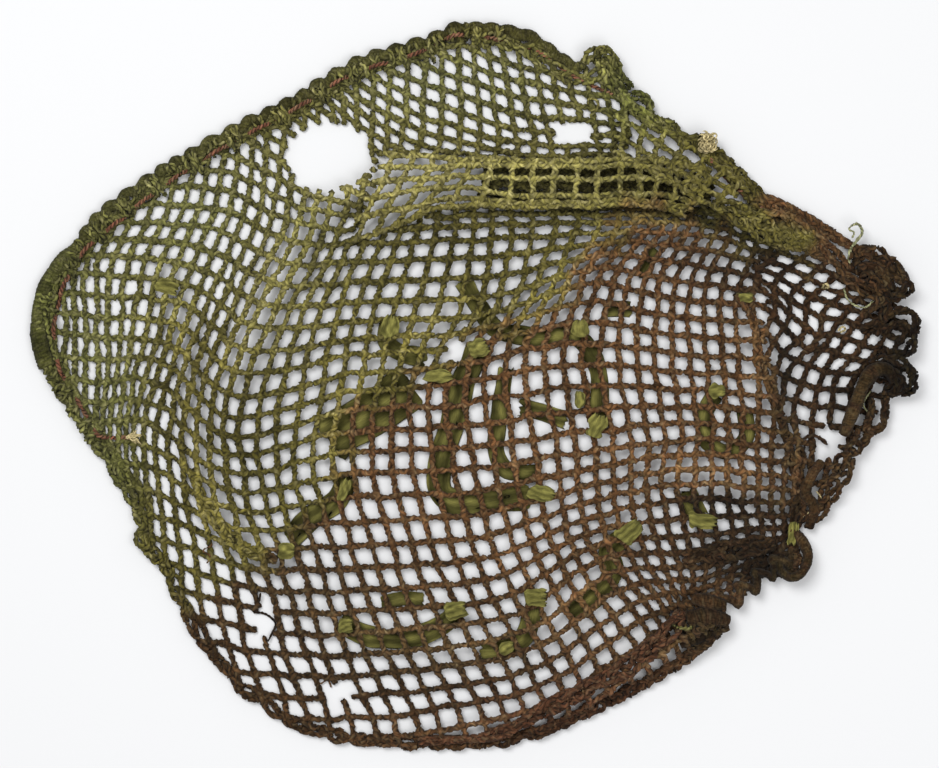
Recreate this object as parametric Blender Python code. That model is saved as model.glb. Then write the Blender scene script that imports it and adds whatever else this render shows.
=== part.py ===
"""Knitted helmet net, lying spread out on a flat surface.

Metres, +Z up. The origin is on that surface, under the middle of the net's outline. Tables hold
millimetres, with X to the right and Y up across the net as it lies.

The net is one sheet with a thick selvedge. Its long pleats and rucks are ridges that run along hand
laid spines, its gathered edge rises and falls in lobes, and its torn places are gaps. The drawstring
lies along the selvedge, and the cotton scrim strips lie under the mesh or are knotted over it.
"""

import math
from dataclasses import dataclass

import bmesh
import bpy
import numpy as np
from mathutils import Matrix, Vector
from mathutils.bvhtree import BVHTree
from mathutils.geometry import delaunay_2d_cdt

MM = 0.001
SHEET_THICK = 2.6
LOFT = 2.4  # how far the mesh stands off the surface where scrim lies under it
LOFT_MIDDLE = (28.0, -34.0)
LOFT_REACH = (152.0, 124.0)  # half width and half height of the raised region
LOFT_FALL = 0.2  # share of the reach over which it falls back to the surface
EDGE_STEP = 9.0
CELL = 12.5
SPINE_STEP = 8.0
ROW_CLEAR = 4.5  # a point beside a fold is left out where it is nearer than this to another
GRID_CLEAR = 8.0
FOLD_SHARES = (0.0, 0.35, 0.7, 1.0)  # where the rows of points run, as shares of a fold's side
MERGE = 0.0001
RIM_REACH = 30.0  # how far in from the edge the lift of the edge dies away
BAND = 12.0  # width of the thick selvedge
CURVE_POINTS = 24  # points worked out between two stations of a curve


@dataclass(frozen=True)
class RimPoint:
    """One place on the net's edge: where it is, how thick the selvedge is and how far it is lifted."""

    x: float
    y: float
    thick: float
    lift: float


RIM = (
    # left tubular loop and the straight upper left edge, with the drawstring in it
    RimPoint(-239, 40, 9, 0),
    RimPoint(-231, 62, 9, 0),
    RimPoint(-217, 78, 7, 0),
    RimPoint(-200, 97, 6, 1),
    RimPoint(-172, 117, 6, 0),
    RimPoint(-135, 139, 6, 1),
    RimPoint(-96, 158, 6, 0),
    RimPoint(-64, 177, 6, 2),
    RimPoint(-28, 189, 6, 0),
    RimPoint(-2, 197, 6, 2),
    RimPoint(30, 192, 5, 3),
    RimPoint(57, 176, 5, 0),
    # peak, then the folded-over edge at the upper right
    RimPoint(70, 184, 6, 7),
    RimPoint(84, 163, 6, 2),
    RimPoint(99, 149, 6, 6),
    RimPoint(121, 137, 7, 4),
    RimPoint(142, 121, 7, 6),
    RimPoint(162, 102, 6, 2),
    RimPoint(192, 86, 6, 3),
    RimPoint(220, 71, 7, 6),
    # gathered lobes at the right
    RimPoint(234, 55, 8, 12),
    RimPoint(228, 43, 7, 2),
    RimPoint(240, 33, 8, 12),
    RimPoint(232, 17, 7, 1),
    RimPoint(239, 5, 8, 13),
    RimPoint(223, -8, 7, 2),
    RimPoint(218, -25, 7, 6),
    RimPoint(202, -42, 8, 9),
    RimPoint(190, -66, 7, 4),
    RimPoint(175, -80, 7, 1),
    RimPoint(180, -93, 7, 11),
    RimPoint(168, -105, 7, 9),
    RimPoint(154, -105, 7, 1),
    RimPoint(147, -116, 7, 10),
    RimPoint(138, -121, 7, 2),
    RimPoint(139, -130, 8, 9),
    # rolled lower edge
    RimPoint(112, -153, 7, 2),
    RimPoint(75, -173, 7, 0),
    RimPoint(40, -189, 6, 1),
    RimPoint(5, -196, 6, 0),
    RimPoint(-50, -196, 7, 0),
    RimPoint(-95, -187, 7, 0),
    RimPoint(-130, -163, 7, 0),
    RimPoint(-155, -131, 6, 0),
    RimPoint(-169, -101, 6, 0),
    RimPoint(-183, -84, 6, 2),
    RimPoint(-184, -71, 6, 0),
    RimPoint(-198, -47, 6, 0),
    RimPoint(-215, -22, 6, 0),
    RimPoint(-234, 10, 7, 0),
)


@dataclass(frozen=True)
class Fold:
    """A ridge in the net along a spine of (x, y, height) stations, steep on one side."""

    name: str
    steep: float  # width of the steep side, to the right of the direction of travel
    gentle: float  # width of the other side
    spine: tuple


FOLDS = (
    Fold("long_pleat", 11, 19, (
        (-132, -6, 0), (-122, 22, 11), (-106, 56, 10), (-88, 86, 10), (-62, 107, 10),
        (-30, 112, 11), (20, 110, 13), (70, 107, 13), (112, 104, 13), (150, 88, 11),
        (182, 74, 7), (206, 66, 0),
    )),
    Fold("left_ridge", 12, 18, (
        (-176, 78, 0), (-166, 54, 6), (-158, 22, 5), (-153, -12, 5), (-148, -46, 7),
        (-138, -74, 12), (-116, -92, 9), (-98, -96, 0),
    )),
    Fold("middle_ruck", 12, 14, (
        (-2, 66, 0), (-16, 44, 5), (-44, 20, 6), (-66, -2, 6), (-78, -30, 4), (-86, -58, 0),
    )),
    Fold("brown_shoulder", 16, 16, (
        (10, 32, 0), (40, 46, 5), (58, 68, 5), (76, 88, 5), (104, 90, 5), (138, 74, 3), (166, 56, 0),
    )),
    Fold("right_ridge", 13, 14, (
        (138, 46, 0), (149, 26, 6), (156, 2, 7), (168, -30, 7), (176, -56, 4), (180, -72, 0),
    )),
    Fold("dark_pleat", 11, 16, (
        (60, -36, 0), (84, -38, 4), (106, -46, 8), (132, -48, 9), (156, -58, 8), (176, -70, 0),
    )),
    Fold("lower_ridge", 17, 17, (
        (98, -46, 0), (80, -72, 5), (66, -104, 5), (40, -128, 5), (4, -138, 5), (-34, -136, 4),
        (-76, -128, 3), (-104, -118, 0),
    )),
    Fold("rolled_edge", 12, 15, (
        (-64, -190, 0), (-20, -186, 5), (28, -177, 7), (74, -160, 9), (104, -141, 10),
        (128, -122, 9), (146, -110, 0),
    )),
)


@dataclass(frozen=True)
class Tear:
    """A torn gap in the mesh, as an upright ellipse."""

    x: float
    y: float
    half_width: float
    half_height: float
    corners: int


RAGGED_IN = 0.86
RAGGED_OUT = 1.08
TEARS = (
    Tear(-78, 124, 23, 18, 12),
    Tear(54, 137, 9, 6, 8),
    Tear(-8, 20, 8, 8, 8),
    Tear(190, -29, 6, 8, 8),
    Tear(-73, -164, 11, 6, 8),
    Tear(-112, -126, 6, 8, 8),
)


@dataclass(frozen=True)
class Strip:
    """A scrim strip lying flat on the surface under the mesh."""

    width: float
    route: tuple


STRIP_THICK = 1.9
STRIP_STEP = 7.0
STRIP_CLEAR = 0.45  # least room between a strip and the net above it
STRIPS = (
    Strip(9, ((-6, 57), (3, 43), (13, 31), (34, 27), (53, 28), (64, 17), (68, 2), (67, -17))),
    Strip(12, ((2, 20), (-6, 2), (-11, -18), (-18, -42), (-18, -57), (-6, -63), (12, -61), (30, -59))),
    Strip(8, ((17, 10), (14, -14), (12, -33), (18, -45), (33, -46))),
    Strip(9, ((25, -11), (38, -14), (50, -18))),
    Strip(22, ((-78, -29), (-62, -18), (-47, -9), (-34, 0))),
    Strip(9, ((-46, 34), (-47, 24), (-38, 18), (-26, 16))),
    Strip(11, ((-68, -48), (-74, -61), (-87, -70), (-100, -82))),
    Strip(10, ((-72, -127), (-57, -134), (-40, -136), (-22, -131), (-9, -122))),
    Strip(7, ((-50, -117), (-38, -114), (-27, -115))),
    Strip(9, ((4, -142), (16, -141), (27, -135), (31, -123), (34, -112))),
    Strip(10, ((84, -79), (73, -88), (75, -99), (66, -112), (52, -122))),
    Strip(11, ((114, -56), (121, -70))),
    Strip(8, ((130, -4), (124, -16), (126, -29), (137, -35), (147, -27), (146, -12))),
    Strip(8, ((69, 42), (85, 42))),
    Strip(8, ((90, 60), (97, 74))),
)


@dataclass(frozen=True)
class Lump:
    """A knot or folded flap of scrim that lies on top of the mesh."""

    kind: str
    x: float
    y: float
    length: float
    width: float
    height: float
    turn: float  # degrees, anticlockwise from X


LUMPS = (
    Lump("knot", 2, 21, 12, 10, 6, 20),
    Lump("flap", -20, 6, 16, 7, 4, 0),
    Lump("flap", 57, 31, 10, 9, 4, 90),
    Lump("knot", 66, -21, 14, 9, 6, 70),
    Lump("knot", 36, -57, 15, 9, 6, -10),
    Lump("flap", -70, -56, 13, 6, 4, 70),
    Lump("knot", -69, -128, 8, 8, 5, 0),
    Lump("knot", -11, -120, 13, 10, 6, 10),
    Lump("knot", 33, -113, 13, 10, 6, 0),
    Lump("knot", 83, -78, 14, 11, 7, 40),
    Lump("knot", 122, -72, 15, 10, 6, -10),
    Lump("flap", 130, -2, 9, 8, 4, 0),
    Lump("flap", 145, 48, 9, 6, 4, 0),
    Lump("knot", 171, -79, 12, 6, 5, 80),
    Lump("knot", -165, 54, 12, 8, 5, -20),
    Lump("flap", -45, 32, 15, 8, 4, 80),
    Lump("flap", 57, -7, 9, 6, 4, 90),
    Lump("flap", 17, -140, 9, 6, 4, 20),
    Lump("flap", -101, -88, 9, 8, 4, 0),
)

STRING_WIDTH = 2.6
STRING_POINTS = 70
STRING_SIDES_RESOLUTION = 2
STRING_CLEAR = 0.45  # least room between the string and the net below it
STRING_PROBES = 8  # places around the string where the net's height is felt
STRING_ROUTE = (
    (-184, -27), (-202, -26), (-211, -11), (-223, 10), (-226, 32), (-221, 54), (-209, 74),
    (-194, 87), (-178, 100), (-160, 113), (-138, 127), (-116, 139), (-94, 151), (-72, 165),
    (-52, 173), (-32, 179), (-10, 189), (12, 187), (34, 181), (56, 166), (78, 156),
    (100, 141), (116, 131), (128, 121), (143, 105), (157, 95),
)

LUMP_SIDES = 8
LUMP_RINGS = 5
LUMP_PROBES = 31  # rows and columns of places where the net's height is felt under a lump
LUMP_CLEAR = 0.5  # room between a lump and the net below it, which leaves the 0.3 mm gap on slopes
TUFT = Lump("tuft", 125, 131, 11, 10, 7, 60)


def clear_scene():
    """Removes every object that the new file starts with."""
    for obj in list(bpy.data.objects):
        bpy.data.objects.remove(obj, do_unlink=True)


def material(name, colour, roughness):
    """A plain cloth material with the piece's own colour."""
    made = bpy.data.materials.new(name)
    made.use_nodes = True
    shader = made.node_tree.nodes["Principled BSDF"]
    shader.inputs["Base Color"].default_value = (*colour, 1.0)
    shader.inputs["Roughness"].default_value = roughness
    shader.inputs["Metallic"].default_value = 0.0
    return made


def catmull(points, closed, step):
    """Evenly spaced rows along a smooth curve through rows of numbers whose first two are x and y."""
    rows = np.array(points, float)
    count = len(rows)
    spans = count if closed else count - 1
    fine = []
    for i in range(spans):
        picked = [i - 1, i, i + 1, i + 2]
        if closed:
            picked = [k % count for k in picked]
        else:
            picked = [min(max(k, 0), count - 1) for k in picked]
        a, b, c, d = rows[picked]
        for t in np.linspace(0.0, 1.0, CURVE_POINTS, endpoint=False):
            linear = (c - a) * t
            square = (2 * a - 5 * b + 4 * c - d) * t**2
            cube = (3 * b - a - 3 * c + d) * t**3
            fine.append(b + 0.5 * (linear + square + cube))
    fine.append(rows[0] if closed else rows[-1])
    fine = np.array(fine)
    run = np.concatenate([[0.0], np.cumsum(np.linalg.norm(np.diff(fine[:, :2], axis=0), axis=1))])
    pieces = max(2, round(run[-1] / step))
    places = np.linspace(0.0, run[-1], pieces + 1)
    if closed:
        places = places[:-1]
    return np.column_stack([np.interp(places, run, fine[:, k]) for k in range(fine.shape[1])])


def nearest(path, xy, closed=False):
    """For each point: signed distance to the path (positive to its right) and the path's row there."""
    start = path
    end = np.roll(path, -1, axis=0)
    if not closed:
        start, end = start[:-1], end[:-1]
    along = end[:, :2] - start[:, :2]
    length = (along**2).sum(axis=1)
    to_point = xy[:, None, :] - start[None, :, :2]
    share = np.clip((to_point * along).sum(axis=2) / length, 0.0, 1.0)
    away = to_point - share[:, :, None] * along
    distance = np.linalg.norm(away, axis=2)
    best = distance.argmin(axis=1)
    pick = np.arange(len(xy))
    side = along[best, 1] * away[pick, best, 0] - along[best, 0] * away[pick, best, 1]
    signed = distance[pick, best] * np.where(side >= 0, 1.0, -1.0)
    share = share[pick, best][:, None]
    return signed, start[best] * (1 - share) + end[best] * share


RIM_CURVE = catmull([(r.x, r.y, r.thick, r.lift) for r in RIM], True, EDGE_STEP)
CENTRE = (RIM_CURVE[:, :2].min(axis=0) + RIM_CURVE[:, :2].max(axis=0)) / 2


def smooth(share):
    """0 to 1 with flat ends."""
    share = np.clip(share, 0.0, 1.0)
    return share * share * (3 - 2 * share)


def loft(xy):
    """Height of the mesh over the region where strips lie under it, falling to nothing outside."""
    out = np.linalg.norm((xy - LOFT_MIDDLE) / np.array(LOFT_REACH), axis=1)
    return LOFT * smooth((1 + LOFT_FALL - out) / LOFT_FALL)


def ridge(fold, xy):
    """Height that one fold adds."""
    signed, row = nearest(catmull(fold.spine, False, SPINE_STEP), xy)
    width = np.where(signed > 0, fold.steep, fold.gentle)
    out = np.clip(np.abs(signed) / width, 0.0, 1.0)
    return np.maximum(row[:, 2], 0.0) * np.cos(0.5 * math.pi * out) ** 2


def underside(xy):
    """Height of the net's underside above the surface, in mm."""
    signed, row = nearest(RIM_CURVE, xy, closed=True)
    inside = np.clip(np.abs(signed) / RIM_REACH, 0.0, 1.0)
    height = np.maximum(row[:, 3], 0.0) * (1 - inside) ** 2
    height = np.maximum(height, loft(xy) * smooth(np.abs(signed) / RIM_REACH))
    ridges = [ridge(fold, xy) * smooth(np.abs(signed) / BAND) for fold in FOLDS]
    return height + np.max(ridges, axis=0)


def thickness(xy):
    """Thickness of the net: the sheet inside, and the thick selvedge at its edge."""
    signed, row = nearest(RIM_CURVE, xy, closed=True)
    return SHEET_THICK + (row[:, 2] - SHEET_THICK) * smooth(1 - np.abs(signed) / BAND)


def tear_outline(tear):
    """Corners of a torn gap, drawn in and out in turn as broken mesh is."""
    turns = np.arange(tear.corners) * 2 * math.pi / tear.corners
    ragged = np.where(np.arange(tear.corners) % 2, RAGGED_IN, RAGGED_OUT)
    across = tear.x + tear.half_width * ragged * np.cos(turns)
    up = tear.y + tear.half_height * ragged * np.sin(turns)
    return np.column_stack([across, up])


def inside(xy, loop):
    """Whether each point is inside a closed loop of points."""
    within = np.zeros(len(xy), bool)
    for (x0, y0), (x1, y1) in zip(loop, np.roll(loop, -1, axis=0)):
        if y0 == y1:
            continue
        level = (y0 > xy[:, 1]) != (y1 > xy[:, 1])
        reach = x0 + (xy[:, 1] - y0) * (x1 - x0) / (y1 - y0)
        within ^= level & (xy[:, 0] < reach)
    return within


def beside(path, offset):
    """The points of a path moved sideways, to the right of the direction of travel."""
    ahead = np.gradient(path[:, :2], axis=0)
    ahead /= np.linalg.norm(ahead, axis=1)[:, None]
    return path[:, :2] + offset * np.column_stack([ahead[:, 1], -ahead[:, 0]])


def fold_rows():
    """Rows of points along each fold: its crest, the middle of its sides and its feet."""
    rows = []
    for share in FOLD_SHARES:
        for fold in FOLDS:
            path = catmull(fold.spine, False, SPINE_STEP)
            rows.append(beside(path, share * fold.steep))
            if share > 0:
                rows.append(beside(path, -share * fold.gentle))
    return rows


def grid_points(outline):
    """Points a cell apart over the whole net."""
    low = outline.min(axis=0)
    high = outline.max(axis=0)
    across, up = np.meshgrid(np.arange(low[0], high[0], CELL), np.arange(low[1], high[1], CELL))
    return np.column_stack([across.ravel(), up.ravel()])


def spread(fixed, candidates, outline, tears):
    """Adds the candidates that are inside the net and clear of the points before them."""
    kept = list(fixed)
    for points, clear in candidates:
        welcome = inside(points, outline)
        for tear in tears:
            welcome &= ~inside(points, tear)
        for point in points[welcome]:
            if np.linalg.norm(np.array(kept) - point, axis=1).min() > clear:
                kept.append(point)
    return kept


def flat_net():
    """The net as a flat mesh in mm: its outline, its tears, and triangles that follow its folds."""
    outline = RIM_CURVE[:, :2]
    tears = [tear_outline(tear) for tear in TEARS]
    loops = [outline, *tears]
    edges = []
    start = 0
    for loop in loops:
        edges += [(start + k, start + (k + 1) % len(loop)) for k in range(len(loop))]
        start += len(loop)
    band = catmull(outline, True, EDGE_STEP)
    inner = beside(band, BAND)
    rows = [(inner, ROW_CLEAR)] + [(row, ROW_CLEAR) for row in fold_rows()]
    points = spread(np.vstack(loops), [*rows, (grid_points(outline), GRID_CLEAR)], outline, tears)
    filled = delaunay_2d_cdt([Vector(point) for point in points], edges, [], 0, MERGE)
    mesh = bmesh.new()
    verts = [mesh.verts.new((*co, 0.0)) for co in filled[0]]
    for corners in filled[2]:
        middle = np.array([sum((filled[0][k] for k in corners), Vector((0, 0))) / len(corners)])
        torn = any(inside(middle, tear)[0] for tear in tears)
        if inside(middle, outline)[0] and not torn:
            mesh.faces.new([verts[k] for k in corners])
    bmesh.ops.recalc_face_normals(mesh, faces=mesh.faces[:])
    if mesh.faces[:][0].normal.z > 0:
        bmesh.ops.reverse_faces(mesh, faces=mesh.faces[:])
    return mesh


def to_object(name, mesh, finish):
    """A scene object from a mesh in mm, moved so that the net's middle is at the origin."""
    bmesh.ops.translate(mesh, verts=mesh.verts[:], vec=(-CENTRE[0], -CENTRE[1], 0.0))
    bmesh.ops.scale(mesh, verts=mesh.verts[:], vec=(MM, MM, MM))
    data = bpy.data.meshes.new(name)
    mesh.to_mesh(data)
    mesh.free()
    data.materials.append(finish)
    obj = bpy.data.objects.new(name, data)
    bpy.context.collection.objects.link(obj)
    return obj


def build_net(finish):
    """Makes the net as one closed sheet, and returns a tree of its faces for what rests on it."""
    mesh = flat_net()
    below = mesh.verts[:]
    xy = np.array([v.co[:2] for v in below])
    under = underside(xy)
    thick = thickness(xy)
    raised = bmesh.ops.extrude_face_region(mesh, geom=mesh.faces[:], use_keep_orig=True)
    above = [g for g in raised["geom"] if isinstance(g, bmesh.types.BMVert)]
    lookup = {(round(v.co.x, 4), round(v.co.y, 4)): k for k, v in enumerate(below)}
    for vert in above:
        k = lookup[(round(vert.co.x, 4), round(vert.co.y, 4))]
        vert.co.z = under[k] + thick[k]
    for vert, height in zip(below, under):
        vert.co.z = height
    bmesh.ops.recalc_face_normals(mesh, faces=mesh.faces[:])
    tree = BVHTree.FromBMesh(mesh)
    to_object("net", mesh, finish)
    return tree


FAR = 100.0  # further up or down than anything reaches


def top_of(tree, x, y, nothing=0.0):
    """Height of a shape's top at a place, or the value given where there is nothing."""
    hit = tree.ray_cast(Vector((x, y, FAR)), Vector((0, 0, -1)))[0]
    return hit.z if hit else nothing


def bottom_of(tree, x, y, nothing=FAR):
    """Height of a shape's underside at a place, or the value given where there is nothing."""
    hit = tree.ray_cast(Vector((x, y, -FAR)), Vector((0, 0, 1)))[0]
    return hit.z if hit else nothing


def build_strip(number, strip, tree, finish):
    """A scrim strip along its route under the net, on the surface or up inside a fold."""
    path = catmull(strip.route, False, STRIP_STEP)
    mesh = bmesh.new()
    ahead = np.gradient(path, axis=0)
    ahead /= np.linalg.norm(ahead, axis=1)[:, None]
    beside = np.column_stack([-ahead[:, 1], ahead[:, 0]]) * strip.width / 2
    room = np.array([
        min(bottom_of(tree, *(middle + share * side)) for share in (-1, -0.5, 0, 0.5, 1))
        for middle, side in zip(path, beside)
    ])
    room = np.array([room[max(k - 1, 0):k + 2].min() for k in range(len(room))])
    rises = np.clip(room - STRIP_THICK - STRIP_CLEAR, 0.0, LOFT)
    rows = []
    for middle, side, rise in zip(path, beside, rises):
        left = mesh.verts.new((*(middle + side), rise))
        right = mesh.verts.new((*(middle - side), rise))
        rows.append((left, right))
    for first, second in zip(rows, rows[1:]):
        mesh.faces.new((first[0], first[1], second[1], second[0]))
    raised = bmesh.ops.extrude_face_region(mesh, geom=mesh.faces[:], use_keep_orig=True)
    above = [g for g in raised["geom"] if isinstance(g, bmesh.types.BMVert)]
    bmesh.ops.translate(mesh, verts=above, vec=(0, 0, STRIP_THICK))
    bmesh.ops.recalc_face_normals(mesh, faces=mesh.faces[:])
    to_object(f"scrim_strip_{number}", mesh, finish)


def build_lump(name, lump, tree, finish):
    """A knot or flap: a flattened lump that rests just clear of the net's top."""
    mesh = bmesh.new()
    bmesh.ops.create_uvsphere(mesh, u_segments=LUMP_SIDES, v_segments=LUMP_RINGS, radius=0.5)
    bmesh.ops.scale(mesh, verts=mesh.verts[:], vec=(lump.length, lump.width, lump.height))
    turn = Matrix.Rotation(math.radians(lump.turn), 3, "Z")
    bmesh.ops.rotate(mesh, verts=mesh.verts[:], matrix=turn)
    bmesh.ops.translate(mesh, verts=mesh.verts[:], vec=(lump.x, lump.y, 0.0))
    own = BVHTree.FromBMesh(mesh)
    half = max(lump.length, lump.width) / 2
    places = np.linspace(-half, half, LUMP_PROBES)
    rise = max(
        top_of(tree, lump.x + dx, lump.y + dy) - bottom_of(own, lump.x + dx, lump.y + dy)
        for dx in places
        for dy in places
    )
    bmesh.ops.translate(mesh, verts=mesh.verts[:], vec=(0, 0, rise + LUMP_CLEAR))
    obj = to_object(name, mesh, finish)
    obj.data.shade_smooth()


def build_string(tree, finish):
    """The drawstring, as a round cord along the top of the selvedge."""
    radius = STRING_WIDTH / 2
    fine = catmull(STRING_ROUTE, False, radius)
    run = np.linspace(0, len(fine) - 1, STRING_POINTS)
    path = np.column_stack([np.interp(run, np.arange(len(fine)), fine[:, k]) for k in (0, 1)])
    turns = np.arange(STRING_PROBES) * 2 * math.pi / STRING_PROBES
    around = [(0.0, 0.0)] + [(radius * math.cos(turn), radius * math.sin(turn)) for turn in turns]
    felt = np.array([max(top_of(tree, x + dx, y + dy) for dx, dy in around) for x, y in fine])
    reach = math.ceil(len(fine) / STRING_POINTS)
    tops = [felt[max(round(k) - reach, 0):round(k) + reach + 1].max() for k in run]
    curve = bpy.data.curves.new("drawstring", "CURVE")
    curve.dimensions = "3D"
    curve.bevel_depth = radius * MM
    curve.bevel_resolution = STRING_SIDES_RESOLUTION
    curve.use_fill_caps = True
    spline = curve.splines.new("POLY")
    spline.points.add(STRING_POINTS - 1)
    for point, (x, y), top in zip(spline.points, path, tops):
        place = Vector((x - CENTRE[0], y - CENTRE[1], top + STRING_CLEAR + radius)) * MM
        point.co = (*place, 1.0)
    curve.materials.append(finish)
    obj = bpy.data.objects.new("drawstring", curve)
    bpy.context.collection.objects.link(obj)


def main():
    """Builds the net, then what lies on and under it."""
    clear_scene()
    green = material("olive knitted cotton", (0.12, 0.13, 0.04), 0.95)
    brown = material("red brown cord", (0.16, 0.07, 0.045), 0.85)
    scrim = material("olive cotton strip", (0.16, 0.18, 0.05), 0.9)
    pale = material("pale frayed yarn", (0.6, 0.52, 0.32), 0.95)
    tree = build_net(green)
    build_string(tree, brown)
    for number, strip in enumerate(STRIPS, 1):
        build_strip(number, strip, tree, scrim)
    for number, lump in enumerate(LUMPS, 1):
        build_lump(f"scrim_{lump.kind}_{number}", lump, tree, scrim)
    build_lump("yarn_tuft", TUFT, tree, pale)


main()
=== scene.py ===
"""The looks of a knitted cotton helmet net that lies spread out on a table.

Tables hold millimetres, with X to the right and Y up across the net as it lies. The net's own middle
is taken off them when a piece is made, which puts it where the frame's solids are.

The mesh is knitted yarn on a lattice of wales, which run down the net, and courses, which run across
it. A short table says where every few courses lie. Folds raise it in ridges, a lattice of its own
makes each layer that lies over another, and the outline and the tears cut the strands. The selvedge
is corded, the drawstring runs along it, and cotton tape, called scrim, lies under the mesh and is
knotted over it.
"""

import logging
import math
from collections.abc import Callable
from dataclasses import dataclass
from enum import Enum

import bmesh
import bpy
import numpy as np
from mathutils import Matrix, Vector


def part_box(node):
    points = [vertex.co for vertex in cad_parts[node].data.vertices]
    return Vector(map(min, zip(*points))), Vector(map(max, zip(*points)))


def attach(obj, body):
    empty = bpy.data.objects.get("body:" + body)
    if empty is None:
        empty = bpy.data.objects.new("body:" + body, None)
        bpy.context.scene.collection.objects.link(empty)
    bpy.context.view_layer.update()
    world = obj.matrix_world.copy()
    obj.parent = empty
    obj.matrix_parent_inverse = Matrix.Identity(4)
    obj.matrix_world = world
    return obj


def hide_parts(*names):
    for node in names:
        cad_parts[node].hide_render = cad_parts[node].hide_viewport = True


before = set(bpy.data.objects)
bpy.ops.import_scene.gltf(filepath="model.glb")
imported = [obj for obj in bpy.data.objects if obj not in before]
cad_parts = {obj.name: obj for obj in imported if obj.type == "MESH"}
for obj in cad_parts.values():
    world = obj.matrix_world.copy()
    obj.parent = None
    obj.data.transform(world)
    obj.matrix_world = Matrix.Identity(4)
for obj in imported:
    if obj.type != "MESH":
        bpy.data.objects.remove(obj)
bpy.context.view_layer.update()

logging.basicConfig(level=logging.INFO, format="%(message)s")
log = logging.getLogger("helmet net")

MM = 0.001
FULL_TURN = 2 * math.pi


# ---------------------------------------------------------------- how the net lies


@dataclass(frozen=True)
class RimPoint:
    """One place on the net's edge: where it is and how far it is lifted, in mm."""

    x: float
    y: float
    lift: float


RIM = tuple(RimPoint(*row) for row in (
    # left tubular loop and the straight upper left edge, with the drawstring in it
    (-239, 40, 0), (-231, 62, 0), (-217, 78, 0), (-200, 97, 1), (-172, 117, 0), (-135, 139, 1),
    (-96, 158, 0), (-64, 177, 2), (-28, 189, 0), (-2, 197, 2), (30, 192, 3), (57, 176, 0),
    # peak, then the folded-over edge at the upper right
    (70, 184, 7), (84, 163, 2), (99, 149, 6), (121, 137, 4), (142, 121, 6), (162, 102, 2),
    (192, 86, 3), (220, 71, 6),
    # gathered lobes at the right
    (234, 55, 12), (228, 43, 2), (240, 33, 12), (232, 17, 1), (239, 5, 13), (223, -8, 2),
    (218, -25, 6), (202, -42, 9), (190, -66, 4), (175, -80, 1), (180, -93, 11), (168, -105, 9),
    (154, -105, 1), (147, -116, 10), (138, -121, 2), (139, -130, 9),
    # rolled lower edge
    (112, -153, 2), (75, -173, 0), (40, -189, 1), (5, -196, 0), (-50, -196, 0), (-95, -187, 0),
    (-130, -163, 0), (-155, -131, 0), (-169, -101, 0), (-183, -84, 2), (-184, -71, 0),
    (-198, -47, 0), (-215, -22, 0), (-234, 10, 0),
))


@dataclass(frozen=True)
class Fold:
    """A ridge along a spine.

    Attributes:
        steep: Its half width to the right of the spine's direction, in mm.
        gentle: Its half width to the left, in mm.
        spine: Rows of x, y, height and cover, which is 1 where a layer lies over it.
    """

    steep: float
    gentle: float
    spine: tuple[tuple[float, float, float, float], ...]


FOLDS = tuple(Fold(*row) for row in (
    # long pleat
    (11, 19, (
        (-132, -6, 0, 0), (-122, 22, 11, 0), (-106, 56, 10, 0), (-88, 86, 10, 0), (-62, 107, 10, 0.2),
        (-30, 112, 11, 0.7), (20, 110, 13, 1), (70, 107, 13, 1), (112, 104, 13, 1), (150, 88, 11, 0.8),
        (182, 74, 7, 0.4), (206, 66, 0, 0),
    )),
    # left ridge
    (12, 18, (
        (-176, 78, 0, 0), (-166, 54, 6, 0), (-158, 22, 5, 0), (-153, -12, 5, 0), (-148, -46, 7, 0),
        (-138, -74, 12, 0), (-116, -92, 9, 0), (-98, -96, 0, 0),
    )),
    # middle ruck
    (12, 14, (
        (-2, 66, 0, 0), (-16, 44, 5, 0), (-44, 20, 6, 0), (-66, -2, 6, 0), (-78, -30, 4, 0),
        (-86, -58, 0, 0),
    )),
    # brown shoulder
    (16, 16, (
        (10, 32, 0, 0), (40, 46, 5, 0), (58, 68, 5, 0), (76, 88, 5, 0), (104, 90, 5, 0),
        (138, 74, 3, 0), (166, 56, 0, 0),
    )),
    # right ridge
    (13, 14, (
        (138, 46, 0, 0), (149, 26, 6, 0), (156, 2, 7, 0), (168, -30, 7, 0), (176, -56, 4, 0),
        (180, -72, 0, 0),
    )),
    # dark pleat
    (11, 16, (
        (60, -36, 0, 0), (84, -38, 4, 0), (106, -46, 8, 0), (132, -48, 9, 0), (156, -58, 8, 0),
        (176, -70, 0, 0),
    )),
    # lower ridge
    (17, 17, (
        (98, -46, 0, 0), (80, -72, 5, 0), (66, -104, 5, 0), (40, -128, 5, 0), (4, -138, 5, 0),
        (-34, -136, 4, 0), (-76, -128, 3, 0), (-104, -118, 0, 0),
    )),
    # rolled edge
    (12, 15, (
        (-64, -190, 0, 0), (-20, -186, 5, 0), (28, -177, 7, 0), (74, -160, 9, 0), (104, -141, 10, 0),
        (128, -122, 9, 0), (146, -110, 0, 0),
    )),
))


@dataclass(frozen=True)
class Course:
    """Where one course of the mesh crosses each of the listed wales."""

    number: float
    lies: tuple[tuple[float, float], ...]


class Part(Enum):
    """Which layer a stretch of mesh is: up to the ridge at the right, beyond it, or over another."""

    NEAR = 1
    BEYOND = -1
    TOP = 0


@dataclass(frozen=True)
class Lattice:
    """One stretch of the mesh.

    Attributes:
        part: Which layer it is.
        wales: The listed wales.
        courses: The listed courses.
    """

    part: Part
    wales: tuple[float, ...]
    courses: tuple[Course, ...]


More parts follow.
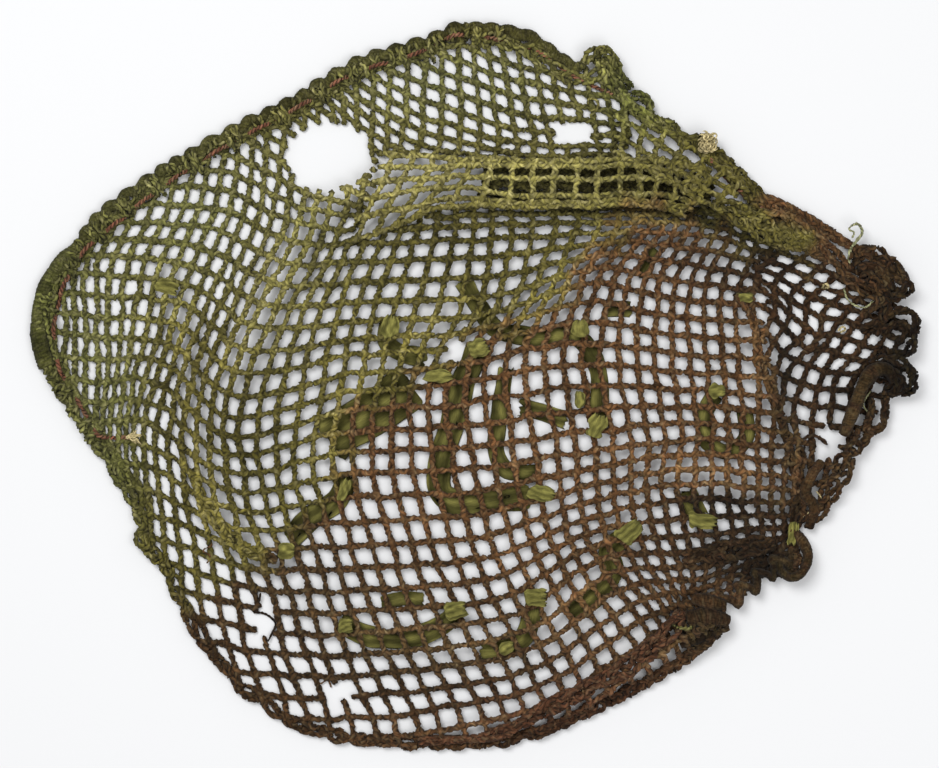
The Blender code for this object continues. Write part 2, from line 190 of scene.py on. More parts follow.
MAIN = Lattice(Part.NEAR, (-27, -21, -14, -8, -2, 4, 10, 16, 22, 28), tuple(Course(*row) for row in (
    (-38, ((-205, 300), (-165, 290), (-112, 270), (-72, 236), (-24, 215), (18, 198), (70, 188),
        (122, 166), (176, 132), (230, 114))),
    (-34, ((-205, 255), (-168, 246), (-116, 232), (-82, 200), (-30, 180), (22, 161), (76, 152),
        (124, 138), (176, 114), (228, 102))),
    (-30, ((-206, 214), (-170, 208), (-120, 204), (-84, 174), (-32, 144), (28, 128), (80, 127),
        (128, 120), (176, 100), (228, 90))),
    (-26, ((-208, 178), (-174, 176), (-125, 180), (-80, 144), (-37, 117), (17, 115), (76, 113),
        (130, 106), (178, 90), (226, 80))),
    (-22, ((-212, 144), (-178, 143), (-130, 141), (-86, 115), (-40, 103), (15, 103), (78, 101),
        (128, 96), (176, 82), (222, 72))),
    (-18, ((-225, 106), (-190, 104), (-135, 100), (-92, 82), (-45, 82), (15, 84), (82, 86), (126, 84),
        (172, 72), (222, 62))),
    (-14, ((-238, 66), (-206, 66), (-150, 59), (-113, 38), (-59, 41), (8, 44), (64, 60), (112, 52),
        (164, 47), (225, 40))),
    (-10, ((-240, 26), (-206, 21), (-164, 17), (-130, -10), (-66, 2), (-9, 7), (53, 18), (112, 13),
        (166, 9), (228, 4))),
    (-6, ((-234, -24), (-206, -26), (-175, -26), (-128, -52), (-71, -41), (-6, -39), (60, -30),
        (116, -24), (165, -28), (212, -28))),
    (-2, ((-216, -70), (-196, -72), (-171, -76), (-118, -92), (-59, -91), (5, -86), (62, -66),
        (114, -56), (163, -59), (192, -60))),
    (2, ((-240, -118), (-210, -122), (-168, -126), (-108, -138), (-44, -137), (23, -127), (73, -96),
        (121, -93), (165, -84), (184, -82))),
    (6, ((-255, -175), (-210, -180), (-152, -183), (-94, -185), (-25, -180), (41, -164), (96, -128),
        (123, -117), (158, -101), (176, -95))),
    (10, ((-262, -225), (-212, -226), (-155, -226), (-98, -226), (-14, -222), (56, -203), (115, -160),
        (140, -140), (166, -122), (185, -112))),
)))
BEYOND = Lattice(Part.BEYOND, (17, 19, 21, 23, 25, 27), tuple(Course(*row) for row in (
    (-18, ((168, 83), (189, 74), (210, 64), (226, 56), (240, 47), (252, 40))),
    (-16, ((158, 72), (178, 64), (197, 55), (214, 47), (230, 38), (244, 30))),
    (-14, ((148, 64), (167, 53.5), (185, 43.5), (204.5, 38.7), (221, 33), (236, 26))),
    (-12, ((150, 52), (166, 40), (180, 25), (194, 24), (211, 18), (228, 14))),
    (-10, ((146, 30), (157, 21), (167, 12), (183, 5), (200, 3.5), (217, 0))),
    (-8, ((128, 0), (144, -5), (160, -10), (177, -14), (197, -16.5), (217, -19))),
    (-6, ((130, -25), (145, -29), (160, -33), (178, -35), (196, -38), (214, -40))),
    (-4, ((134, -46), (148, -49), (162, -52), (176, -55), (190, -58), (204, -60))),
    (-2, ((142, -62), (153, -66), (164, -70), (174, -73), (184, -78), (194, -82))),
)))
PLEAT = Lattice(
    Part.TOP,
    (-4.5, -2.5, -0.5, 1.5, 3.5, 5.5, 7.5, 9.5, 11.5, 13.5),
    tuple(Course(*row) for row in (
        (0.5, ((-44, 125), (-22, 123), (0, 121.5), (21, 121.5), (44, 121.5), (67, 121.5), (90, 121),
            (112, 119), (132, 113), (152, 104))),
        (1.5, ((-46, 118), (-24, 117), (-2, 118), (20.5, 118.5), (43.5, 118.5), (66.5, 118.5),
            (89.5, 118), (110, 114), (130, 107), (149, 98))),
        (2.5, ((-49, 110.5), (-27, 111.5), (-4, 112.5), (20, 111.5), (43, 111), (66, 111), (89, 111.5),
            (108, 109), (127, 103), (145, 94.5))),
        (3.5, ((-53, 101.5), (-31, 105), (-7, 106.5), (19, 102.5), (42, 102), (65, 102), (88, 103),
            (106, 102), (124, 97), (141, 89))),
        (4.5, ((-58, 91), (-36, 96), (-11, 101), (17, 99), (41, 98.5), (64, 98.5), (87, 99.5),
            (104, 98), (121, 93), (138, 84.5))),
        (5.5, ((-64, 80), (-42, 87), (-16, 96), (15, 97), (40, 96.5), (63, 96.5), (86, 97.5),
            (102, 95.5), (118, 90), (135, 81))),
    )),
)
CORNER = Lattice(Part.TOP, (0.5, 2.5, 4.5, 6.5), tuple(Course(*row) for row in (
    (0.5, ((82, 153), (103, 139), (124, 124), (143, 108))),
    (2.5, ((80, 133), (97, 123), (114, 112), (131, 101))),
    (4.5, ((79, 114), (96, 106), (112, 97), (127, 89))),
)))
# nothing lies under the left end of the pleat's top, the corner beside it and the steep strands
OPEN_PLACES = (
    (
        (-48, 125), (-34, 124), (-22, 123), (-8, 122), (4, 122), (3, 110), (-2, 99), (-16, 96),
        (-42, 87), (-66, 78), (-60, 92), (-53, 106),
    ),
    (
        (84, 158), (96, 150), (110, 140), (124, 129), (140, 117), (156, 103), (150, 99), (140, 103),
        (126, 111), (112, 117), (98, 120), (85, 121), (84, 134), (84, 146),
    ),
    ((162, 104), (174, 98), (190, 89), (204, 79), (208, 68), (200, 68), (190, 77), (178, 87), (168, 95)),
)
# the bright ridge at the right, where the near and the far stretch of mesh meet
RIDGE_LINE = (
    (240, 82), (200, 78), (170, 74), (152, 68), (154, 57), (157, 48), (155, 30), (158, 12),
    (163, -8), (168, -25), (172, -45), (176, -62), (181, -84),
)
JOIN = 2.0


@dataclass(frozen=True)
class Tear:
    """A torn gap in the mesh, as an upright ellipse."""

    x: float
    y: float
    half_width: float
    half_height: float


TEARS = tuple(Tear(*row) for row in (
    (-78, 124, 23, 18), (54, 137, 9, 6), (-9, 20, 5, 5), (190, -29, 6, 8), (-73, -165, 8, 4),
    (-112, -126, 6, 8),
))

# how finely the outline, the folds and the curves are worked out
EDGE_STEP = 9.0
SPINE_STEP = 6.0
OPEN_STEP = 2.0
CURVE_POINTS = 24
POINTS_AT_ONCE = 20000
# the middle of the net stands off the table by its own springiness
LOFT = 2.4
LOFT_MIDDLE = (28.0, -34.0)
LOFT_REACH = (152.0, 124.0)
LOFT_FALL = 0.2
# how far in from the edge its lift and its flatness reach
RIM_REACH = 30.0
BAND = 12.0
OPEN_REACH = 60.0
# how far a layer above reaches to each side of a spine, the painted shade it casts on the cloth under it,
# and how it presses that cloth
COVER_BACK = 14.0
COVER_FRONT = 16.0
COVER_EDGE = 5.0
COVER_SHADE = 0.66
COVER_SINK = 0.55
COVERED = 0.05
# the layer on top: how round it is over the fold, its least share of the height, and its lift
TOP_ROUND = 0.22
TOP_LEAST = 0.2
TOP_LIFT = 1.5


def catmull(points: tuple | np.ndarray, closed: bool, step: float) -> np.ndarray:
    """Evenly spaced rows along a smooth curve.

    Args:
        points: Rows of numbers whose first two are x and y.
        closed: Whether the curve goes back to its start.
        step: Distance between the rows, in mm.

    Returns:
        The rows along the curve.
    """
    rows = np.array(points, float)
    count = len(rows)
    spans = count if closed else count - 1
    fine = []
    for i in range(spans):
        picked = [i - 1, i, i + 1, i + 2]
        if closed:
            picked = [k % count for k in picked]
        else:
            picked = [min(max(k, 0), count - 1) for k in picked]
        a, b, c, d = rows[picked]
        for t in np.linspace(0.0, 1.0, CURVE_POINTS, endpoint=False):
            linear_part = (c - a) * t
            square = (2 * a - 5 * b + 4 * c - d) * t**2
            cube = (3 * b - a - 3 * c + d) * t**3
            fine.append(b + 0.5 * (linear_part + square + cube))
    fine.append(rows[0] if closed else rows[-1])
    return evenly(np.array(fine), step, closed)


def lengths(places: np.ndarray) -> np.ndarray:
    """The length of a line up to each of its places."""
    gaps = np.linalg.norm(np.diff(places, axis=0), axis=1)
    return np.concatenate([[0.0], np.cumsum(gaps)])


def evenly(rows: np.ndarray, step: float, closed: bool = False, space: int = 2) -> np.ndarray:
    """Rows at even distances along a path.

    Args:
        rows: Rows of numbers whose first ones are a place.
        step: Distance between the new rows, in mm.
        closed: Whether the last row is the first one again.
        space: How many of a row's numbers make its place.

    Returns:
        The new rows.
    """
    run = lengths(rows[:, :space])
    pieces = max(2, round(run[-1] / step))
    places = np.linspace(0.0, run[-1], pieces + 1)
    if closed:
        places = places[:-1]
    return np.column_stack([np.interp(places, run, rows[:, k]) for k in range(rows.shape[1])])


@dataclass
class Nearness:
    """What `nearest` finds for each point.

    Attributes:
        signed: Distance to the path, positive to the right of the direction of travel.
        row: The path's row there.
    """

    signed: np.ndarray
    row: np.ndarray


def nearest(path: np.ndarray, xy: np.ndarray, closed: bool = False) -> Nearness:
    """Finds the nearest place on a path for each point.

    Args:
        path: Rows whose first two numbers are x and y.
        xy: The points, one a row.
        closed: Whether the path's end joins its start.

    Returns:
        The distances and the path's rows there.
    """
    if len(xy) > POINTS_AT_ONCE:
        chunks = np.array_split(xy, len(xy) // POINTS_AT_ONCE + 1)
        parts = [nearest(path, chunk, closed) for chunk in chunks]
        signed, row = [part.signed for part in parts], [part.row for part in parts]
        return Nearness(np.concatenate(signed), np.concatenate(row))
    start = path
    end = np.roll(path, -1, axis=0)
    if not closed:
        start, end = start[:-1], end[:-1]
    way = end[:, :2] - start[:, :2]
    length = np.linalg.norm(way, axis=1)
    to_point = xy[:, None, :2] - start[None, :, :2]
    share = np.clip((to_point * way).sum(axis=2) / length**2, 0.0, 1.0)
    away = to_point - share[:, :, None] * way
    distance = (away**2).sum(axis=2)
    best = distance.argmin(axis=1)
    pick = np.arange(len(xy))
    side = way[best, 1] * away[pick, best, 0] - way[best, 0] * away[pick, best, 1]
    signed = np.sqrt(distance[pick, best]) * np.where(side >= 0, 1.0, -1.0)
    part = share[pick, best]
    row = start[best] * (1 - part[:, None]) + end[best] * part[:, None]
    return Nearness(signed, row)


def blurred(values: np.ndarray, count: int) -> np.ndarray:
    """The values along a line, each averaged over the `count` around it."""
    return np.convolve(np.pad(values, count // 2, "edge"), np.ones(count) / count, "valid")


def smooth(share: np.ndarray) -> np.ndarray:
    """A share from 0 to 1, eased so that it starts and ends flat."""
    share = np.clip(share, 0.0, 1.0)
    return share * share * (3 - 2 * share)


def weights(knots: tuple[float, ...], at: np.ndarray) -> np.ndarray:
    """How much each knot counts at each place, for a smooth curve through all of them.

    Args:
        knots: The knots' places, in order.
        at: The places to work out.

    Returns:
        One row for each place, with a weight for each knot.
    """
    spots = np.array(knots, float)
    unit = np.eye(len(spots))
    slope = np.gradient(unit, spots, axis=0)
    k = np.clip(np.searchsorted(spots, at, side="right") - 1, 0, len(spots) - 2)
    span = (spots[k + 1] - spots[k])[:, None]
    t = (at - spots[k])[:, None] / span
    start = (2 * t**3 - 3 * t**2 + 1) * unit[k] + (t**3 - 2 * t**2 + t) * span * slope[k]
    return start + (3 * t**2 - 2 * t**3) * unit[k + 1] + (t**3 - t**2) * span * slope[k + 1]


class Wander:
    """A smooth field of random numbers, from about -1 to 1, that repeats exactly each run."""

    def __init__(self, seed: int) -> None:
        """Draws the field's random table."""
        self.size = 97
        self.table = np.random.default_rng(seed).uniform(-1.0, 1.0, (self.size, self.size))

    def at(self, u: np.ndarray, v: np.ndarray) -> np.ndarray:
        """The field's value at each (u, v), which changes over steps of about 1."""
        iu, iv = np.floor(u).astype(int), np.floor(v).astype(int)
        fu, fv = smooth(u - iu), smooth(v - iv)
        corner = [
            self.table[(iu + a) % self.size, (iv + b) % self.size] for a in (0, 1) for b in (0, 1)
        ]
        low = corner[0] * (1 - fv) + corner[1] * fv
        high = corner[2] * (1 - fv) + corner[3] * fv
        return low * (1 - fu) + high * fu


@dataclass(frozen=True)
class Waver:
    """An unevenness: its size, the length of its waves in mm, and where in a field it starts."""

    size: float
    length: float
    start: float = 0.0

    def along(self, field: Wander, run: np.ndarray, salt: np.ndarray) -> np.ndarray:
        """The unevenness at each length along something, in the row `salt` of a field."""
        return self.size * field.at(run / self.length + self.start, salt)


@dataclass
class Lie:
    """How the cloth lies: where each cell of the lattice is, and how high.

    Attributes:
        lattice: The stretch of mesh.
        slack: How far the crossings stray from an even lattice, in mm.
        roam: How quickly that changes from cell to cell.
        lift: Height of the yarn's middle above the surface where the net lies flat, in mm.
        rest: How much higher it lies on average, in mm.
        bob: How far it rises and sinks about that, in mm.
        bob_roam: How quickly that changes from cell to cell.
    """

    lattice: Lattice = MAIN
    slack: float = 1.0
    roam: float = 0.93
    lift: float = 1.6
    rest: float = 0.4
    bob: float = 0.5
    bob_roam: float = 0.7

    def __post_init__(self) -> None:
        """Works out the outline and the spines of the folds."""
        rim = [(point.x, point.y, point.lift) for point in RIM]
        self.edge = catmull(rim, True, EDGE_STEP)
        self.centre = (self.edge[:, :2].min(axis=0) + self.edge[:, :2].max(axis=0)) / 2
        self.spines = [catmull(fold.spine, False, SPINE_STEP) for fold in FOLDS]
        self.open_places = [catmull(place, True, OPEN_STEP) for place in OPEN_PLACES]
        self.ridge = catmull(RIDGE_LINE, False, SPINE_STEP)
        self.wander = [Wander(seed) for seed in range(3)]
        self.courses = np.array([course.lies for course in self.lattice.courses], float)

    def flat(self, wale: np.ndarray, course: np.ndarray) -> np.ndarray:
        """Where places on the lattice lie, seen from above and before they stray."""
        across = weights(self.lattice.wales, wale)
        down = weights(tuple(c.number for c in self.lattice.courses), course)
        return np.einsum("na,nb,abk->nk", down, across, self.courses)

    def ground(self, xy: np.ndarray) -> np.ndarray:
        """Height of the net's underside without its folds.

        Args:
            xy: The places, in mm.

        Returns:
            The height at each place, in mm.
        """
        found = nearest(self.edge, xy, closed=True)
        inside = np.clip(np.abs(found.signed) / RIM_REACH, 0.0, 1.0)
        height = np.maximum(found.row[:, 2], 0.0) * (1 - inside) ** 2
        out = np.linalg.norm((xy - LOFT_MIDDLE) / np.array(LOFT_REACH), axis=1)
        loft = LOFT * smooth((1 + LOFT_FALL - out) / LOFT_FALL)
        return np.maximum(height, loft * smooth(np.abs(found.signed) / RIM_REACH))

    def underside(self, xy: np.ndarray) -> np.ndarray:
        """Height of the net's underside, with its folds as plain ridges.

        Args:
            xy: The places, in mm.

        Returns:
            The height at each place, in mm.
        """
        found = nearest(self.edge, xy, closed=True)
        fade = smooth(np.abs(found.signed) / BAND)
        ridges = []
        for fold, spine in zip(FOLDS, self.spines):
            by = nearest(spine, xy)
            width = np.where(by.signed > 0, fold.steep, fold.gentle)
            out = np.clip(np.abs(by.signed) / width, 0.0, 1.0)
            ridges.append(np.maximum(by.row[:, 2], 0.0) * np.cos(0.5 * math.pi * out) ** 2 * fade)
        return self.ground(xy) + np.max(ridges, axis=0)

    def place(self, wale: np.ndarray, course: np.ndarray) -> np.ndarray:
        """Where places on the lattice lie.

        Args:
            wale: Wale of each place; a strand runs at each half.
            course: Course of each place.

        Returns:
            One row of x, y and z in mm for each place, and how light it is, with painted shade under other
            layers.
        """
        xy = self.flat(wale, course)
        at = wale * self.roam, course * self.roam
        xy = xy + self.slack * np.column_stack([self.wander[k].at(*at) for k in (0, 1)])
        rises = []
        tone = np.ones(len(xy))
        fade = smooth(nearest(self.edge, xy, closed=True).signed / BAND)
        on_top = self.lattice.part is Part.TOP
        for fold, spine in zip(FOLDS, self.spines):
            by = nearest(spine, xy)
            height = np.maximum(by.row[:, 2], 0.0)
            width = np.where(by.signed > 0, fold.steep, fold.gentle)
            plain = np.cos(0.5 * math.pi * np.clip(np.abs(by.signed) / width, 0.0, 1.0)) ** 2
            cover = np.clip(by.row[:, 3], 0.0, 1.0)
            if on_top:
                flatter = 1 - TOP_ROUND * (by.signed / BAND) ** 2
                plain = np.where(cover > COVERED, np.clip(flatter, TOP_LEAST, 1.0), plain)
            else:
                reach = np.where(by.signed > 0, COVER_FRONT, COVER_BACK)
                under = cover * smooth((reach - np.abs(by.signed)) / COVER_EDGE)
                # painted shade on cloth that lies under another layer, and just in front of its edge
                tone *= 1 - COVER_SHADE * under
                height = height * (1 - COVER_SINK * under)
            rises.append(height * plain * fade)
        bob = self.bob * self.wander[2].at(wale * self.bob_roam, course * self.bob_roam)
        z = self.ground(xy) + np.max(rises, axis=0) + self.lift + self.rest + bob + TOP_LIFT * on_top
        return np.column_stack([xy, np.maximum(z, self.lift), tone])

    def inside(self, xy: np.ndarray, inset: float) -> np.ndarray:
        """Whether each point is in this stretch and outside the tears.

        Args:
            xy: The points, in mm.
            inset: How far in from the edge they have to be, in mm.

        Returns:
            A yes or no for each point.
        """
        ok = nearest(self.edge, xy, closed=True).signed > inset
        if self.lattice.part is not Part.TOP:
            ok &= nearest(self.ridge, xy).signed * self.lattice.part.value > -JOIN
            for place in self.open_places:
                near = np.linalg.norm(xy - place[:, :2].mean(axis=0), axis=1) < OPEN_REACH
                ok &= (nearest(place, xy, closed=True).signed < 0) | ~near
        for tear in TEARS:
            away = (xy - (tear.x, tear.y)) / (tear.half_width, tear.half_height)
            ok &= np.linalg.norm(away, axis=1) > 1.0
        return ok


# ---------------------------------------------------------------- colours and finishes


def linear(code: str) -> np.ndarray:
    """An sRGB hex colour as linear red, green and blue."""
    parts = np.array([int(code[k:k + 2], 16) for k in (1, 3, 5)]) / 255
    return np.where(parts <= 0.04045, parts / 12.92, ((parts + 0.055) / 1.055) ** 2.4)


class Shade(Enum):
    """Dyes of the yarn, as the net's two baths have left them; some patches of them are painted shadow and
    painted highlight.
    """

    OLIVE = "#766d33"
    GREEN = "#6f7338"
    SAGE = "#85854b"
    MOSS = "#8d864a"
    DEEP_OLIVE = "#5c5526"
    BROWN = "#734f31"
    DARK_BROWN = "#402d1f"
    BLACK_BROWN = "#2c2017"
    OLIVE_BROWN = "#554029"
    RED_BROWN = "#63402c"
    SCRIM = "#6b6736"
    SCRIM_PALE = "#7a763e"
    CORD = "#845440"
    CREAM = "#d2c08c"
    PALE_GREEN = "#a3a67c"


@dataclass(frozen=True)
class DyePatch:
    """Somewhere that the yarn is coloured differently, on one side of the line between the two tones:
    mostly dye, a few painted shadow and painted highlight.
    """

    shade: Shade
    x: float
    y: float
    reach_x: float
    reach_y: float


OLIVE_PATCHES = tuple(DyePatch(*row) for row in (
    (Shade.GREEN, -232, 60, 26, 90), (Shade.GREEN, -200, -50, 20, 60), (Shade.SAGE, -150, 100, 80, 50),
    # the MOSS patches at (-40, 113), (60, 110) and (-112, 50) lie along the long pleat's crest: lighter
    # olive, partly dye and partly painted highlight
    (Shade.SAGE, -10, 165, 90, 26), (Shade.SAGE, -205, 0, 24, 70), (Shade.MOSS, -40, 113, 70, 16),
    (Shade.MOSS, 60, 110, 90, 18), (Shade.MOSS, -112, 50, 20, 50), (Shade.MOSS, 75, 158, 45, 20),
    (Shade.DEEP_OLIVE, 0, 78, 70, 20), (Shade.DEEP_OLIVE, 140, 108, 70, 36),
    (Shade.GREEN, 90, 160, 30, 24), (Shade.DEEP_OLIVE, -120, -30, 30, 50),
))
BROWN_PATCHES = tuple(DyePatch(*row) for row in (
    (Shade.RED_BROWN, 70, -163, 80, 24), (Shade.DARK_BROWN, 150, 66, 46, 20),
    (Shade.DARK_BROWN, 195, 0, 34, 70), (Shade.DARK_BROWN, 135, -85, 50, 26),
    # the BLACK_BROWN patches at (168, 10) and (136, -64) are painted shadow, beyond the ridge at the right
    # and in front of the dark pleat
    (Shade.BLACK_BROWN, 168, 10, 9, 60), (Shade.BLACK_BROWN, 136, -64, 34, 9),
    (Shade.BLACK_BROWN, 235, 10, 24, 90), (Shade.BLACK_BROWN, 160, -100, 26, 22),
    (Shade.BLACK_BROWN, 124, -130, 24, 16), (Shade.OLIVE_BROWN, -40, -150, 130, 42),
    (Shade.OLIVE_BROWN, -110, -100, 50, 40), (Shade.RED_BROWN, 60, -176, 80, 22),
))
# where the olive bath ends and the brown one starts, and how blurred that is
TONE_LINE = (
    (-215, -160), (-159, -123), (-113, -91), (-72, -50), (-67, -18), (-35, 1), (-13, 15), (1, 23),
    (46, 50), (68, 74), (86, 94), (120, 88), (142, 79), (165, 72), (184, 69), (181, 78), (166, 92),
    (157, 103), (166, 125), (210, 165),
)
TONE_BLUR = 9.0
BLOTCH = 9.0
# heights over which painted shade on low cloth turns to painted highlight on high cloth, and how light
# each is
LIGHT_HEIGHT_LOW = 2.0
LIGHT_HEIGHT_HIGH = 11.0
LOW_CLOTH_SHADE = 0.66
HIGH_CLOTH_HIGHLIGHT = 1.25
# how much olive is flecked into the brown where it stands high, partly dye and partly painted highlight,
# and the flecks' size
OLIVE_SHOWS = 0.1
OLIVE_FLECK_SIZE = 2.6
# how uneven the dye is, in clouds and from stitch to stitch
UNEVEN_DYE = 0.16
DYE_CLOUD = 23.0
DYE_STITCH = 3.1


class Dye:
    """The two dyes, which give the colour of the yarn at each place, with painted light by height."""

    def __init__(self) -> None:
        """Lays the line between the two tones."""
        self.line = catmull(TONE_LINE, False, SPINE_STEP)
        self.wander = [Wander(seed) for seed in (11, 12, 13, 14)]

    def uneven(self, field: int, xy: np.ndarray, size: float) -> np.ndarray:
        """One of the random fields at each place, whose spots are `size` mm across."""
        return self.wander[field].at(xy[:, 0] / size, xy[:, 1] / size)

    def patched(self, base: Shade, patches: tuple[DyePatch, ...], xy: np.ndarray) -> np.ndarray:
        """One tone's colour at each place.

        Args:
            base: The tone's main dye.
            patches: Where it took differently.
            xy: The places, in mm.

        Returns:
            A linear colour for each place.
        """
        colour = np.tile(linear(base.value), (len(xy), 1))
        for patch in patches:
            away = (xy - (patch.x, patch.y)) / (patch.reach_x, patch.reach_y)
            share = np.exp(-(away**2).sum(axis=1))[:, None]
            colour = colour * (1 - share) + linear(patch.shade.value) * share
        return colour

    def colour(self, xyz: np.ndarray) -> np.ndarray:
        """The dye at each place, with painted light: darker where the cloth lies low, paler where it
        stands high.

        Args:
            xyz: The places, in mm.

        Returns:
            Red, green and blue for each place.
        """
        xy = xyz[:, :2]
        by = nearest(self.line, xy)
        blotch = self.uneven(0, xy, BLOTCH)
        share = smooth((TONE_BLUR * (1 + blotch) - by.signed) / (2 * TONE_BLUR))[:, None]
        olive = self.patched(Shade.OLIVE, OLIVE_PATCHES, xy)
        brown = self.patched(Shade.BROWN, BROWN_PATCHES, xy)
        # painted light by height: painted shade where the cloth lies low, painted highlight where it
        # stands high
        height_light = smooth((xyz[:, 2] - LIGHT_HEIGHT_LOW) / (LIGHT_HEIGHT_HIGH - LIGHT_HEIGHT_LOW))
        olive_flecks = OLIVE_SHOWS * smooth(0.5 + self.uneven(3, xy, OLIVE_FLECK_SIZE)) * height_light
        brown = brown * (1 - olive_flecks[:, None]) + linear(Shade.OLIVE.value) * olive_flecks[:, None]
        mixed = olive * share + brown * (1 - share)
        # painted shade and highlight by height, times the uneven dye
        fade = LOW_CLOTH_SHADE + (HIGH_CLOTH_HIGHLIGHT - LOW_CLOTH_SHADE) * height_light
        fade *= 1 + UNEVEN_DYE * self.uneven(1, xy, DYE_CLOUD)
        fade *= 1 + UNEVEN_DYE * self.uneven(2, xy, DYE_STITCH)
        return mixed * fade[:, None]


def add_node(
    tree: bpy.types.NodeTree, kind: str, settings: dict | None = None, links: dict | None = None
) -> bpy.types.Node:
    """Adds a node to a material.

    Args:
        tree: The material's node tree.
        kind: The node's type.
        settings: Values by property or input name.
        links: Sockets by input name.

    Returns:
        The node.
    """
    node = tree.nodes.new(kind)
    for name, value in (settings or {}).items():
        if name in node.inputs:
            node.inputs[name].default_value = value
        else:
            setattr(node, name, value)
    for name, socket in (links or {}).items():
        tree.links.new(socket, node.inputs[name])
    return node


@dataclass(frozen=True)
class ClothFinish:
    """Matt spun cotton, whose fibres scatter light: it has no gloss, a fine fuzz and a speckled colour.

    Attributes:
        name: The material's name, for what it is.
        fibre_mm: Size of the speckle that the spun fibres make.
        speckle: How far the speckle darkens and lightens the colour.
        relief_mm: Depth of the fuzz that the bump shows.
        sheen: How much the loose fibres catch the light.
        roughness: How dull it is.
        gloss: How much its surface mirrors.
        fuzz: How strongly the fuzz shows.
    """

    name: str
    fibre_mm: float = 0.8
    speckle: float = 0.55
    relief_mm: float = 0.3
    sheen: float = 0.04
    roughness: float = 0.95
    gloss: float = 0.05
    fuzz: float = 0.7

    def make(self) -> bpy.types.Material:
        """Builds the material, which reads the dye and the fibre coordinates that a mesh carries.

        Returns:
            The material.
        """
        made = bpy.data.materials.new(self.name)
        made.use_nodes = True
        tree = made.node_tree
        shader = tree.nodes["Principled BSDF"]
        shader.inputs["Roughness"].default_value = self.roughness
        shader.inputs["Specular IOR Level"].default_value = self.gloss
        shader.inputs["Sheen Weight"].default_value = self.sheen
        shader.inputs["Sheen Roughness"].default_value = 0.6
        place = add_node(tree, "ShaderNodeAttribute", {"attribute_name": "fibre"}).outputs["Vector"]
        spun = {"Scale": 1 / self.fibre_mm, "Detail": 3.0, "Roughness": 0.7}
        grain = add_node(tree, "ShaderNodeTexNoise", spun, {"Vector": place}).outputs["Fac"]
        spread = {"From Min": 0.3, "From Max": 0.7, "To Min": 1 - self.speckle, "To Max": 1 + self.speckle}
        tone = add_node(tree, "ShaderNodeMapRange", spread, {"Value": grain}).outputs[0]
        dye = add_node(tree, "ShaderNodeAttribute", {"attribute_name": "dye"})
        speckled = {"Vector": dye.outputs["Color"], "Scale": tone}
        mix = add_node(tree, "ShaderNodeVectorMath", {"operation": "SCALE"}, speckled)
        tree.links.new(mix.outputs[0], shader.inputs["Base Color"])
        relief = {"Strength": self.fuzz, "Distance": self.relief_mm * MM}
        bump = add_node(tree, "ShaderNodeBump", relief, {"Height": grain})
        tree.links.new(bump.outputs[0], shader.inputs["Normal"])
        return made


# ---------------------------------------------------------------- making yarn and cloth


UP = np.array([0.0, 0.0, 1.0])
YARN_SIDES = 5
TUBE_SIDES = 14
END_TAPER = 0.6
TABLE_GAP = 0.05
WELD = 0.02
# how light a ply is under painted shade on its inner side, where the plies meet, and on its underside, and
# how flecked it is
GROOVE_SHADE = 0.1
GROOVE_EDGE = 0.8
UNDERSIDE_SHADE = 0.24
FLECK = 0.6
# painted highlights: loose fibres catching the light pale the dye here and there, so the rest of it is a
# little deeper
FUZZ_HIGHLIGHT = 0.4
FUZZ_RARE = 3
FUZZ_TINT = np.array((2.7, 2.4, 1.35))
DEEPER = 0.95
# the speckle is drawn out along the fibres, and starts elsewhere on each rod
FIBRE_STRETCH = 3
FIBRE_SHIFT = (7.7, 3.1)
# swing of a chained ply in radians, and how far the twist slips over how many points
CHAIN_SWING = 2.1
SLIP = 1.1
SLIP_POINTS = 3.3


def unit(vectors: np.ndarray) -> np.ndarray:
    """The vectors, each one unit long."""
    return vectors / np.maximum(np.linalg.norm(vectors, axis=1), 1e-9)[:, None]


def sides_of(places: np.ndarray) -> tuple[np.ndarray, np.ndarray]:
    """Finds the two directions across a line.

    Args:
        places: The line's places, in order.

    Returns:
        The level direction to the right at each place, and the one that is square to it.
    """
    ahead = unit(np.gradient(places, axis=0))
    side = unit(np.cross(ahead, UP))
    return side, np.cross(side, ahead)


@dataclass
class Rod:
    """A single ply, thread or felted tube.

    Attributes:
        middle: Places along it, in mm.
        out: Which way is outward there, away from the strand that it is part of.
        radius: Its radius there, in mm.
        tone: How light it is there, as a share of the dye's colour.
        squash: Its radius across `out`, as a share of that along it.
        sides: Sides of its section.
        groove: How light it is on the inner side, under painted shade, as a share.
        rough: How far its surface is fuzzed, as a share of its radius.
        shade: Its own colour, if it isn't dyed with the net.
    """

    middle: np.ndarray
    out: np.ndarray
    radius: np.ndarray
    tone: np.ndarray
    squash: float = 1.0
    sides: int = YARN_SIDES
    groove: float = GROOVE_SHADE
    rough: float = 0.15
    shade: Shade | None = None


# the unevenness of every yarn's twist
TWIST = Wander(41)


